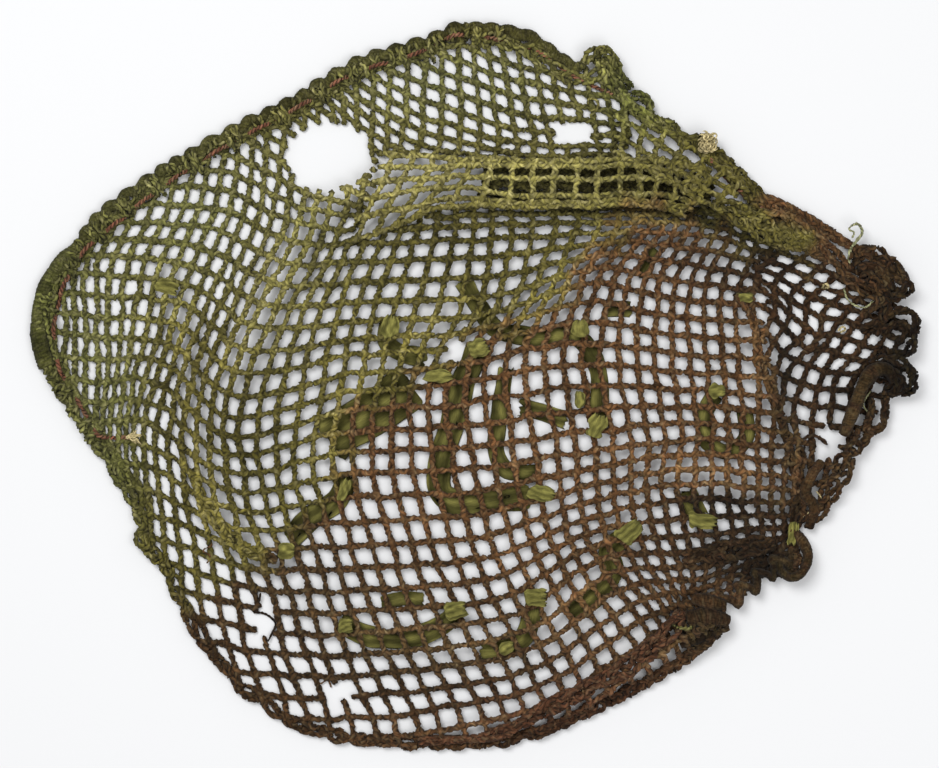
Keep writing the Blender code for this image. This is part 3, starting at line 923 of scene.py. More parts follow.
@dataclass(frozen=True)
class Yarn:
    """Plied yarn.

    Attributes:
        width: Thickness over all its plies, in mm.
        turn: Length of one full twist, in mm.
        plies: How many plies are twisted together.
        rounds: Points worked out for each turn.
        offset: How far a ply's middle is from the yarn's, as a share of the width.
        shade: The yarn's own colour, if it isn't dyed with the net.
        chained: Whether its two plies cross to and fro like chain stitches, not round like a rope.
    """

    width: float
    turn: float
    plies: int = 2
    rounds: int = 4
    offset: float = 0.19
    shade: Shade | None = None
    chained: bool = False

    def lay(self, run: np.ndarray, start: float) -> list[Rod]:
        """Twists the plies along a run.

        Args:
            run: Rows of x, y, z, thickness share and tone along the yarn's middle, in mm.
            start: Angle of the first ply at the run's start.

        Returns:
            The plies.
        """
        rows = evenly(run, self.turn / self.rounds, space=3)
        side, over = sides_of(rows[:, :3])
        radius = self.width * (0.5 - self.offset)
        steps = np.arange(len(rows))
        slip = SLIP * TWIST.at(steps / SLIP_POINTS, np.full(len(rows), start * 9))
        laid = []
        for ply in range(self.plies):
            wound = FULL_TURN * steps / self.rounds
            if self.chained:
                wound = CHAIN_SWING * np.sin(wound + start)
            angle = start + slip + wound + FULL_TURN * ply / self.plies
            out = np.cos(angle)[:, None] * side + np.sin(angle)[:, None] * over
            middle = rows[:, :3] + (self.width * self.offset * rows[:, 3])[:, None] * out
            laid.append(Rod(middle, out, radius * rows[:, 3], rows[:, 4], shade=self.shade))
        return laid


def rods_mesh(
    name: str, rods: list[Rod], colour: Callable[[np.ndarray], np.ndarray], centre: np.ndarray
) -> bpy.types.Mesh:
    """Joins many rods in one mesh, with painted shade where the plies meet and under them, and painted
    highlights of pale fuzz.

    Args:
        name: The mesh's name.
        rods: The rods.
        colour: Gives the dye for places in mm.
        centre: The net's middle, which is taken off.

    Returns:
        The mesh, in metres, with its dye and its coordinates along the fibres.
    """
    random = np.random.default_rng(len(rods))
    points, tones, fibres, sides, quads, caps = [], [], [], [], [], []
    first = 0
    for number, rod in enumerate(rods):
        turn = FULL_TURN * np.arange(rod.sides) / rod.sides
        count = len(rod.middle)
        ahead = unit(np.gradient(rod.middle, axis=0))
        out = unit(rod.out - (rod.out * ahead).sum(axis=1)[:, None] * ahead)
        across = rod.squash * np.cross(ahead, out)
        radius = rod.radius[:, None] * (1 + rod.rough * random.uniform(-1, 1, (count, rod.sides)))
        radius[[0, -1]] *= END_TAPER
        ring = np.cos(turn)[None, :, None] * out[:, None] + np.sin(turn)[None, :, None] * across[:, None]
        points.append((rod.middle[:, None] + radius[:, :, None] * ring).reshape(-1, 3))
        # painted shade on each ply's inner side, where it meets the others
        groove_shade = rod.groove + (1 - rod.groove) * (0.5 + 0.5 * np.cos(turn)) ** GROOVE_EDGE
        fleck = 1 + FLECK * random.uniform(-1, 1, (count, rod.sides))
        # painted shade on the sides that face down
        shaded = 1 - UNDERSIDE_SHADE * (1 - ring[:, :, 2])
        tones.append((rod.tone[:, None] * groove_shade[None, :] * fleck * shaded).ravel())
        sides.append(np.full(count, rod.sides))
        run = lengths(rod.middle)
        girth = rod.radius.mean()
        fibre = np.stack(
            [
                np.repeat(run[:, None] / FIBRE_STRETCH + FIBRE_SHIFT[0] * number, rod.sides, 1),
                np.tile(np.cos(turn) * girth + FIBRE_SHIFT[1] * number, (count, 1)),
                np.tile(np.sin(turn) * girth, (count, 1)),
            ],
            axis=2,
        )
        fibres.append(fibre.reshape(-1, 3))
        here = first + np.arange(count * rod.sides).reshape(count, rod.sides)
        beside = np.roll(here, -1, axis=1)
        quads.append(np.stack([here[:-1], beside[:-1], beside[1:], here[1:]], axis=2).reshape(-1, 4))
        caps += [here[0, ::-1], here[-1]]
        first += count * rod.sides
    points, quads = np.concatenate(points), np.concatenate(quads)
    points[:, 2] = np.maximum(points[:, 2], TABLE_GAP)
    sizes = np.concatenate([np.full(len(quads), 4), [len(cap) for cap in caps]])
    corners = np.concatenate([quads.ravel(), *caps])
    colours = colour(np.concatenate([rod.middle for rod in rods]))
    first = 0
    for rod in rods:
        if rod.shade:
            colours[first:first + len(rod.middle)] = linear(rod.shade.value)
        first += len(rod.middle)
    dyes = np.repeat(colours, np.concatenate(sides), axis=0) * np.concatenate(tones)[:, None]
    # painted highlights of fuzz catching the light
    fuzz_highlight = FUZZ_HIGHLIGHT * random.uniform(0, 1, (len(dyes), 1)) ** FUZZ_RARE
    dyes = DEEPER * dyes * (1 - fuzz_highlight) + dyes.mean(axis=1)[:, None] * FUZZ_TINT * fuzz_highlight
    mesh = bpy.data.meshes.new(name)
    mesh.vertices.add(len(points))
    mesh.vertices.foreach_set("co", ((points - (*centre, 0.0)) * MM).astype(np.float32).ravel())
    mesh.loops.add(len(corners))
    mesh.loops.foreach_set("vertex_index", corners)
    mesh.polygons.add(len(sizes))
    mesh.polygons.foreach_set("loop_start", np.concatenate([[0], np.cumsum(sizes)[:-1]]))
    mesh.update(calc_edges=True)
    paint(mesh, dyes, np.concatenate(fibres))
    return mesh


def shaped_cloth(
    along: int, around: int, shape: Callable[[np.ndarray, np.ndarray], tuple], centre: np.ndarray
) -> bpy.types.Mesh:
    """A closed piece of cloth, shaped from a grid whose second way goes right round it.

    Args:
        along: Steps along it.
        around: Steps round it.
        shape: Gives the places in mm, dyes and fibre coordinates at shares along and around.
        centre: The net's middle, which is taken off.

    Returns:
        The mesh, in metres.
    """
    made = bmesh.new()
    bmesh.ops.create_grid(made, x_segments=along, y_segments=around, size=0.5)
    spots = np.array([vert.co[:2] for vert in made.verts]) + 0.5
    places, dyes, fibres = shape(spots[:, 0], spots[:, 1])
    places = (places - (*centre, 0.0)) * MM
    dye = made.verts.layers.float_color.new("dye")
    fibre = made.verts.layers.float_vector.new("fibre")
    for vert, place, tint, thread in zip(made.verts, places, dyes, fibres):
        vert.co = place
        vert[dye] = (*tint, 1.0)
        vert[fibre] = thread
    bmesh.ops.remove_doubles(made, verts=made.verts, dist=WELD * MM)
    bmesh.ops.holes_fill(made, edges=made.edges, sides=0)
    bmesh.ops.recalc_face_normals(made, faces=made.faces)
    mesh = bpy.data.meshes.new("cloth")
    made.to_mesh(mesh)
    made.free()
    return mesh


def paint(mesh: bpy.types.Mesh, dyes: np.ndarray, fibres: np.ndarray) -> None:
    """Gives each point of a mesh its dye and its place along the fibres.

    Args:
        mesh: The mesh.
        dyes: Red, green and blue for each point.
        fibres: Coordinates along and across the fibres for each point, in mm.
    """
    layer = mesh.color_attributes.new("dye", "FLOAT_COLOR", "POINT")
    whole = np.column_stack([dyes, np.ones(len(dyes))])
    layer.data.foreach_set("color", whole.astype(np.float32).ravel())
    layer = mesh.attributes.new("fibre", "FLOAT_VECTOR", "POINT")
    layer.data.foreach_set("vector", fibres.astype(np.float32).ravel())


def add_object(
    name: str, data: bpy.types.ID, place: tuple[float, float, float] = (0.0, 0.0, 0.0)
) -> bpy.types.Object:
    """Adds an object to the scene.

    Args:
        name: Its name.
        data: Its mesh, light or camera.
        place: Where it is, in m.

    Returns:
        The object.
    """
    made = bpy.data.objects.new(name, data)
    made.location = place
    bpy.context.scene.collection.objects.link(made)
    return made


def finish_piece(
    name: str, mesh: bpy.types.Mesh, material: bpy.types.Material, stands_for: tuple = ()
) -> bpy.types.Object:
    """Makes a piece of a finished mesh: smooth, dressed and riding on the object.

    Args:
        name: The piece's name.
        mesh: Its mesh, in metres and in place.
        material: Its finish.
        stands_for: The plain solids that it stands for.

    Returns:
        The piece.
    """
    mesh.name = name
    mesh.materials.clear()
    mesh.materials.append(material)
    mesh.shade_smooth()
    piece = add_object(name, mesh)
    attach(piece, "root")
    if stands_for:
        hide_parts(*stands_for)
    log.info("%s: %d triangles", name, sum(len(p.vertices) - 2 for p in mesh.polygons))
    return piece


# ---------------------------------------------------------------- the mesh of the net


@dataclass(frozen=True)
class Panel:
    """One piece of the net: a lattice's wales from `first` to `last`, and courses from `top` down."""

    name: str
    lattice: Lattice
    first: int
    last: int
    top: float = -42.0
    bottom: float = 12.0


PANELS = (
    Panel("mesh_left", MAIN, -34, -12),
    Panel("mesh_left_middle", MAIN, -12, -4),
    Panel("mesh_middle", MAIN, -4, 4),
    Panel("mesh_right_middle", MAIN, 4, 13),
    Panel("mesh_right", MAIN, 13, 30),
    Panel("mesh_right_end", BEYOND, 16, 28, -18.0, -2.0),
    Panel("pleat_top", PLEAT, -5, 11, 0.0, 5.625),
    Panel("mesh_corner", CORNER, 0, 7, 0.0, 3.75),
)
# how quickly the kinks, the thickness and the tone change from cell to cell along a strand
KINK_ROAM, SLUB_ROAM, FADE_ROAM = 3.1, 2.3, 1.1


@dataclass
class KnittedMesh:
    """The net's mesh: plied yarn along every wale and every course.

    Attributes:
        dye: Its colours.
        material: The yarn's finish.
        yarn: What it is knitted of.
        inset: How far in from the edge the strands end, under the selvedge, in mm.
        swell: How much thicker the yarn is where strands cross.
        weave: How far one strand passes above the other, in mm.
        kink: How far the yarn strays from its line between crossings, in mm.
        knot: Reach of a crossing's thicker part, as a share of a cell.
        slub: How unevenly thick the yarn is spun, as a share.
        faded: How unevenly light it is, as a share.
        samples: Points along a strand in each cell.
        shortest: Points in the shortest stretch of a strand that is kept.
    """

    dye: Dye
    material: bpy.types.Material
    yarn: Yarn = Yarn(3.9, 9.6, rounds=8, offset=0.2, chained=True)
    inset: float = 2.5
    swell: float = 0.34
    weave: float = 0.3
    kink: float = 0.5
    knot: float = 0.17
    slub: float = 0.16
    faded: float = 0.25
    samples: int = 8
    shortest: int = 4

    def __post_init__(self) -> None:
        """Draws the unevenness of the spinning."""
        self.uneven = Wander(21)
        self.kinks = (Wander(22), Wander(23))

    def strand(self, lie: Lie, fixed: float, moving: np.ndarray, is_wale: bool) -> list[np.ndarray]:
        """The stretches of one strand that are inside the cloth.

        Args:
            lie: How its stretch of mesh lies.
            fixed: The wale or course that the strand runs along.
            moving: The places along it.
            is_wale: Whether it is a wale.

        Returns:
            Rows of x, y, z, thickness share and tone for each stretch.
        """
        other = np.full(len(moving), fixed)
        wale, course = (other, moving) if is_wale else (moving, other)
        rows = lie.place(wale, course)
        sign = 1.0 if is_wale else -1.0
        # each strand reads a row of its own in the random fields
        salt = np.full(len(moving), fixed * 5.3 + 40 * is_wale)
        for axis in (0, 1):
            rows[:, axis] += self.kink * self.kinks[axis].at(moving * KINK_ROAM, salt)
        parity = np.cos(math.pi * (fixed - 0.5)) * np.cos(math.pi * (moving - 0.5))
        rows[:, 2] = np.maximum(rows[:, 2] + sign * self.weave * parity, lie.lift)
        crossing = np.abs(moving - np.floor(moving) - 0.5)
        share = 1 + self.swell * np.exp(-((crossing / self.knot) ** 2))
        share *= 1 + self.slub * self.uneven.at(moving * SLUB_ROAM, salt)
        tone = rows[:, 3] * (1 + self.faded * self.uneven.at(moving * FADE_ROAM + 31, salt))
        rows = np.column_stack([rows[:, :3], share, tone])
        ok = lie.inside(rows[:, :2], self.inset)
        cuts = np.flatnonzero(np.diff(ok.astype(int))) + 1
        parts = np.split(np.arange(len(ok)), cuts)
        return [rows[part] for part in parts if ok[part[0]] and len(part) >= self.shortest]

    def build(self) -> None:
        """Knits the panels, the first of which stands for the net's plain solid."""
        random = np.random.default_rng(5)
        step = 1 / self.samples
        for panel in PANELS:
            lie = Lie(panel.lattice)
            across = np.arange(panel.first, panel.last + step, step)
            down = np.arange(panel.top, panel.bottom + step, step)
            wales = []
            for wale in range(panel.first, panel.last):
                wales += self.strand(lie, wale + 0.5, down, True)
            courses = []
            for course in range(math.ceil(panel.top), math.ceil(panel.bottom)):
                courses += self.strand(lie, course + 0.5, across, False)
            rods = []
            for run in wales + courses:
                rods += self.yarn.lay(run, random.uniform(0, FULL_TURN))
            mesh = rods_mesh(panel.name, rods, self.dye.colour, lie.centre)
            stands_for = ("net",) if panel is PANELS[0] else ()
            piece = finish_piece(panel.name, mesh, self.material, stands_for)


# ---------------------------------------------------------------- ropes along the edge


class Make(Enum):
    """How an edge rope is made: strands, length of lay and strand width in mm, whether plaited.

    A tube is felted in one, so it has none of these.
    """

    TUBE = ()
    BUNDLE = (8, 80.0, 3.8, False)
    SPREAD = (4, 190.0, 3.8, False)
    FELT = (8, 62.0, 3.7, True)
    PLAIT = (3, 24.0, 3.7, True)
    LACE = (3, 34.0, 3.7, True)


@dataclass(frozen=True)
class EdgeRope:
    """A rope along the edge, from a first to a last row of RIM, which is counted on past its end.

    Its middle is `inset` mm in from the edge, and it waves in and out by `scallop` mm.
    """

    make: Make
    first: int
    last: int
    inset: float
    width: float
    height: float
    tone: float
    scallop: float = 0.0


EDGE_ROPES = tuple(EdgeRope(*row) for row in (
    (Make.TUBE, 49, 52, 4, 8, 7, 0.5), (Make.SPREAD, 49, 52, 9, 9, 6, 0.95),
    (Make.TUBE, 52, 59, 3, 5.8, 5.2, 0.42, 1.5), (Make.PLAIT, 52, 59, 8.5, 8, 5, 0.9),
    (Make.TUBE, 59, 61, 3.5, 6.5, 5, 0.45, 0.8), (Make.LACE, 59, 62, 10, 10, 5, 1.05),
    (Make.LACE, 62, 67, 8, 8, 6, 0.85), (Make.SPREAD, 63, 67, 7, 9, 5, 0.85),
    (Make.PLAIT, 65, 68, 4, 8, 6, 0.75), (Make.SPREAD, 67, 70, 3.5, 8, 5, 0.85),
    (Make.PLAIT, 35, 39, 4.5, 8.5, 6, 0.75), (Make.LACE, 39, 44, 5, 9.5, 6, 0.85),
    (Make.PLAIT, 44, 49, 4.5, 8.5, 7, 0.9), (Make.TUBE, 46, 49, 10, 4.5, 4, 0.7),
))
# length of one of the scallops that the whipping draws into the edge, in mm
SCALLOP = 11.0
# the drawstring's route along the edge, with a row wherever it comes up over the mesh
STRING_ROUTE = (
    (-184, -27), (-202, -26), (-211, -11), (-223, 10), (-226, 32), (-221, 54), (-209, 74),
    (-194, 87), (-178, 100), (-160, 113), (-138, 127), (-116, 139), (-94, 151), (-72, 165),
    (-52, 173), (-32, 179), (-10, 189), (12, 187), (34, 181), (56, 166), (78, 156), (100, 141),
    (116, 131), (128, 121), (143, 105), (157, 95),
)


def string_line(step: float) -> np.ndarray:
    """Works out the drawstring's line.

    Args:
        step: Distance between its points, in mm.

    Returns:
        Rows of x and y in mm, and of the route's row there, as a number with a fraction.
    """
    rows = [(x, y, float(k)) for k, (x, y) in enumerate(STRING_ROUTE)]
    return catmull(rows, False, step)


@dataclass(frozen=True)
class Gathers:
    """Loops of the mesh that wrap the selvedge's cord, and reach `reach` mm in over the mesh.

    They go from a first to a last row of RIM, and of the drawstring's route.
    """

    first: int
    last: int
    first_row: int
    last_row: int
    reach: float
    tone: float


GATHERS = (
    Gathers(49, 61, 4, 17, 11.0, 0.9),
    Gathers(44, 49, 1, 4, 8.0, 0.95),
)
# a loop's section: shares of its reach in from the edge, and heights in mm
GATHER_SECTION = ((1.1, 2.0), (0.85, 4.5), (0.6, 6.6), (0.4, 6.6), (0.26, 5.6), (0.2, 4.0))


@dataclass(frozen=True)
class FreeRope:
    """A rope on its own course, which has rows of x, y, underside, width and height, in mm."""

    make: Make
    tone: float
    course: tuple[tuple[float, float, float, float, float], ...]
    shade: Shade | None = None


# a winding hem: rows for each fold, how full its bends are, the angle at its start in radians, and
# its underside, width and height in mm
WINDING_ROWS = 8
WINDING_LEAN = 0.12
WINDING_START = 0.5
WINDING_SIZE = (4.0, 4.3, 8.0)


def winding(
    first: tuple[float, float], last: tuple[float, float], folds: int, depth: float
) -> tuple[tuple[float, float, float, float, float], ...]:
    """The course of a hem that winds to and fro along a line, evenly thick.

    Args:
        first: Where it starts, in mm.
        last: Where it ends, in mm.
        folds: How many times it winds out and back.
        depth: How far it winds to each side, in mm.

    Returns:
        Rows of x, y, underside, width and height.
    """
    ends = np.array((first, last), float)
    length = float(np.linalg.norm(ends[1] - ends[0]))
    ahead = (ends[1] - ends[0]) / length
    turn = FULL_TURN * np.linspace(0, folds, WINDING_ROWS * folds + 1)
    along = length * turn / turn[-1] + WINDING_LEAN * length / folds * np.sin(2 * turn)
    out = depth * np.sin(turn + WINDING_START)
    place = ends[0] + ahead * along[:, None] + np.array((-ahead[1], ahead[0])) * out[:, None]
    return tuple((float(x), float(y), *WINDING_SIZE) for x, y in place)


FREE_ROPES = tuple(FreeRope(*row) for row in (
    # the domed lobes of the selvedge at the upper right
    (Make.PLAIT, 0.62, (
        (58, 171, 2, 7, 6), (62, 178, 5, 8, 7), (69, 180, 7, 8, 8), (76, 174, 7, 8, 8),
        (79, 166, 5, 7, 7), (84, 160, 3, 7, 5),
    )),
    (Make.BUNDLE, 0.5, (
        (68, 168, 3, 5, 5), (71, 175, 5, 5, 6), (75, 168, 5, 5, 6), (77, 161, 3, 5, 5),
    )),
    (Make.PLAIT, 0.72, (
        (85, 157, 2, 6, 5), (90, 156, 4, 7, 6), (95, 152, 5, 7, 6), (95, 146, 3, 6, 5),
        (101, 142, 2, 6, 5),
    )),
    (Make.PLAIT, 0.75, (
        (99, 143, 2, 6, 5), (105, 142, 4, 6, 6), (110, 138, 4, 6, 6), (110, 132, 2, 5, 5),
    )),
    (Make.PLAIT, 0.7, (
        (114, 132, 2, 6, 5), (118, 134, 4, 6, 6), (124, 132, 4, 7, 6), (131, 125, 3, 7, 5),
        (136, 117, 2, 7, 5), (146, 107, 2, 7, 5), (156, 99, 2, 6, 5),
    )),
    # the lobes at the right
    (Make.PLAIT, 0.52, (
        (203, 68, 2, 8, 7), (213, 73, 5, 10, 8), (223, 66, 8, 9, 8), (231, 56, 9, 9, 9),
        (230, 48, 8, 8, 8), (223, 49, 7, 8, 7), (219, 56, 6, 8, 7), (212, 60, 5, 8, 7),
        (207, 55, 4, 7, 6),
    )),
    (Make.BUNDLE, 0.46, (
        (206, 64, 4, 5, 6), (215, 64, 5, 7, 7), (222, 58, 6, 7, 7), (224, 52, 6, 6, 7),
    )),
    (Make.SPREAD, 0.8, (
        (198, 60, 3, 7, 6), (206, 55, 5, 9, 7), (214, 51, 6, 9, 7), (218, 46, 6, 8, 7),
        (212, 41, 4, 7, 6),
    )),
    (Make.PLAIT, 0.55, (
        (223, 46, 6, 8, 7), (220, 40, 6, 9, 7), (215, 34, 4, 8, 7), (209, 29, 2, 7, 6),
    )),
    (Make.PLAIT, 0.52, (
        (216, 28, 3, 6, 6), (220, 36, 5, 6, 7), (227, 41, 8, 7, 8), (235, 38, 9, 7, 8),
        (237, 30, 9, 7, 8), (234, 21, 7, 7, 8), (226, 18, 5, 7, 7), (218, 20, 3, 7, 6),
    )),
    (Make.PLAIT, 0.59, (
        (220, 30, 4, 5, 6), (226, 34, 6, 5, 6), (231, 30, 7, 5, 6), (229, 24, 6, 5, 6),
    )),
    (Make.PLAIT, 0.5, (
        (213, 13, 3, 7, 6), (223, 15, 6, 8, 8), (231, 12, 9, 9, 9), (235, 5, 10, 8, 9),
        (232, -3, 7, 8, 8), (224, -3, 5, 7, 7),
    )),
    (Make.BUNDLE, 0.38, ((217, 8, 4, 9, 6), (225, 8, 7, 10, 7), (228, 1, 7, 9, 7), (222, -3, 5, 7, 6))),
    (Make.TUBE, 0.52, (
        (226, 3, 6, 6, 6), (222, 9, 8, 7, 7), (215, 9, 8, 8, 8), (209, 2, 8, 8, 9), (205, -8, 9, 8, 9),
        (201, -18, 9, 7, 9), (198, -26, 8, 6, 8),
    )),
    (Make.PLAIT, 0.63, (
        (204, -22, 7, 9, 7), (205, -31, 7, 11, 8), (199, -38, 7, 11, 8), (192, -46, 5, 9, 7),
        (186, -54, 4, 7, 6),
    )),
    (Make.PLAIT, 0.71, (
        (221, -2, 5, 6, 6), (221, -11, 5, 6, 6), (219, -20, 5, 6, 6), (212, -26, 5, 6, 6),
        (207, -33, 5, 6, 6),
    )),
    (Make.PLAIT, 0.67, ((213, -6, 5, 6, 6), (213, -15, 5, 6, 6), (209, -24, 5, 6, 6))),
    (Make.LACE, 0.71, (
        (203, -38, 5, 8, 7), (197, -47, 6, 12, 8), (192, -57, 5, 11, 7), (187, -66, 4, 9, 7),
        (178, -75, 2, 9, 7),
    )),
    (Make.TUBE, 0.46, (
        (187, -40, 4, 5, 7), (181, -48, 6, 6, 8), (178, -57, 5, 6, 8), (183, -65, 4, 7, 7),
        (180, -76, 2, 6, 6),
    )),
    (Make.PLAIT, 0.5, (
        (176, -32, 4, 6, 6), (176, -46, 5, 7, 7), (174, -60, 4, 7, 7), (172, -74, 2, 7, 6),
    )),
    # the loop and the gathered folds of hem below it
    (Make.TUBE, 0.5, (
        (171, -77, 2, 6, 8), (177, -84, 4, 6, 10), (179, -92, 6, 6, 11), (175, -100, 7, 6, 11),
        (169, -102, 6, 6, 10), (164, -97, 5, 6, 9), (165, -90, 3, 5, 8),
    )),
    (Make.TUBE, 0.52, winding((169, -91), (132, -119), 4, 5.2)),
    # the roll of hem at the lower right, and its folded end
    (Make.FELT, 0.9, (
        (-30, -190, 3, 6, 5), (0, -189, 4, 7, 5), (20, -183, 6, 8, 6), (42, -171, 7, 10, 7),
        (62, -161, 8, 11, 8), (82, -150, 9, 12, 8), (98, -137, 9, 12, 9), (107, -128, 9, 11, 9),
        (111, -120, 8, 8, 8),
    ), Shade.RED_BROWN),
    (Make.TUBE, 0.34, ((117, -113, 8, 7, 7), (126, -115, 9, 8, 8), (135, -117, 8, 6, 7))),
    (Make.TUBE, 0.37, ((114, -124, 7, 8, 8), (126, -123, 8, 9, 8), (137, -126, 7, 6, 6))),
    (Make.TUBE, 0.31, ((110, -136, 4, 9, 8), (122, -133, 5, 9, 8), (133, -130, 4, 7, 6))),
    # mesh bunched at the upper right, and the steep strands that run from it
    (Make.FELT, 0.9, (
        (128, 99, 7, 5, 6), (138, 95, 8, 11, 6), (149, 90, 8, 17, 6), (162, 84, 7, 19, 6),
        (176, 77, 5, 14, 5), (192, 69, 3, 7, 5),
    )),
    (Make.PLAIT, 0.95, (
        (156, 103, 2, 4, 5), (170, 97, 3, 4, 5), (186, 88, 3, 4, 5), (199, 79, 3, 4, 5),
        (208, 70, 3, 4, 5),
    )),
    (Make.PLAIT, 1.0, (
        (160, 97, 4, 4, 5), (172, 91, 5, 4, 5), (184, 82, 5, 4, 5), (195, 73, 5, 4, 5),
        (202, 63, 5, 4, 5),
    )),
    (Make.PLAIT, 0.85, (
        (166, 91, 4, 4, 5), (178, 83, 5, 4, 5), (188, 74, 5, 4, 5), (196, 64, 4, 4, 5),
        (201, 56, 4, 4, 5),
    )),
    # the bright strands of the ridge at the right, and the dark folds near it
    (Make.SPREAD, 0.85, (
        (140, 50, 4, 4, 4), (149, 38, 6, 5, 4), (153, 20, 7, 5, 4), (159, -2, 7, 5, 4),
        (167, -24, 7, 6, 4), (172, -44, 5, 6, 4), (176, -62, 3, 6, 4),
    )),
    (Make.FELT, 0.85, (
        (112, -92, 3, 8, 4), (130, -89, 4, 12, 4), (148, -86, 4, 13, 4), (162, -84, 3, 9, 4),
    )),
    # mesh bunched at the lower left
    (Make.SPREAD, 0.88, (
        (-152, -44, 5, 7, 5), (-144, -62, 8, 9, 5), (-133, -78, 10, 10, 5), (-119, -88, 9, 9, 5),
        (-106, -93, 5, 7, 5),
    )),
))


# rows of points along the rim and along a rope's course, in mm, and the rim's rows to average over
RIM_STEP = 3.0
ROPE_STEP = 2.0
RIM_BLUR = 5
# how the scallops are uneven, then a tube's ribs, thickness and tone, then a rope's thickness and
# lay, and its strands' tone and thickness
SCALLOP_WAVER = Waver(2.4, 26)
RIB_WAVER, TUBE_SWELL, TUBE_TONE = Waver(2.5, 6), Waver(0.24, 9), Waver(0.45, 9, 50)
ROPE_SWELL, ROPE_DRIFT = Waver(0.2, 8), Waver(0.25, 17)
STRAND_TONE, STRAND_SWELL = Waver(0.2, 5, 50), Waver(0.14, 4, 90)
# the random fields' rows are this far apart from rope to rope
ROPE_SALT = 3.7
# a tube's thickness and tone without those, the painted highlight on its ribs, the painted shade on one
# side, and its surface
TUBE_THICK, TUBE_LIGHT, RIB_HIGHLIGHT, TUBE_SIDE_SHADE, TUBE_ROUGH = 0.97, 0.97, 0.06, 0.7, 0.07
# how high a plait's strands cross, and the least half width of a rope's strands, in mm
PLAIT_RISE, LEAST_HALF = 0.9, 0.3
# a loop of the gathers: its yarn's width and its points' spacing in mm, and its thickness share
LOOP_WIDTH = 3.3
LOOP_STEP = 1.5
LOOP_THICK = 0.95
# where loops lie along the edge in mm, their share of the reach, and how much higher they are in mm,
# where they go over the drawstring and where they go under it
OVER_TWINS, OVER_REACH, OVER_LIFT = (-3.0, 0.2, 3.1), 1.08, 1.2
UNDER_TWINS, UNDER_REACH, UNDER_LIFT = (-1.3, 1.5), 0.86, -0.4
# how light a loop is on the table, and how much lighter painted light makes it for each mm up
LOOP_TONE = 0.62
LOOP_HEIGHT_LIGHT = 0.05


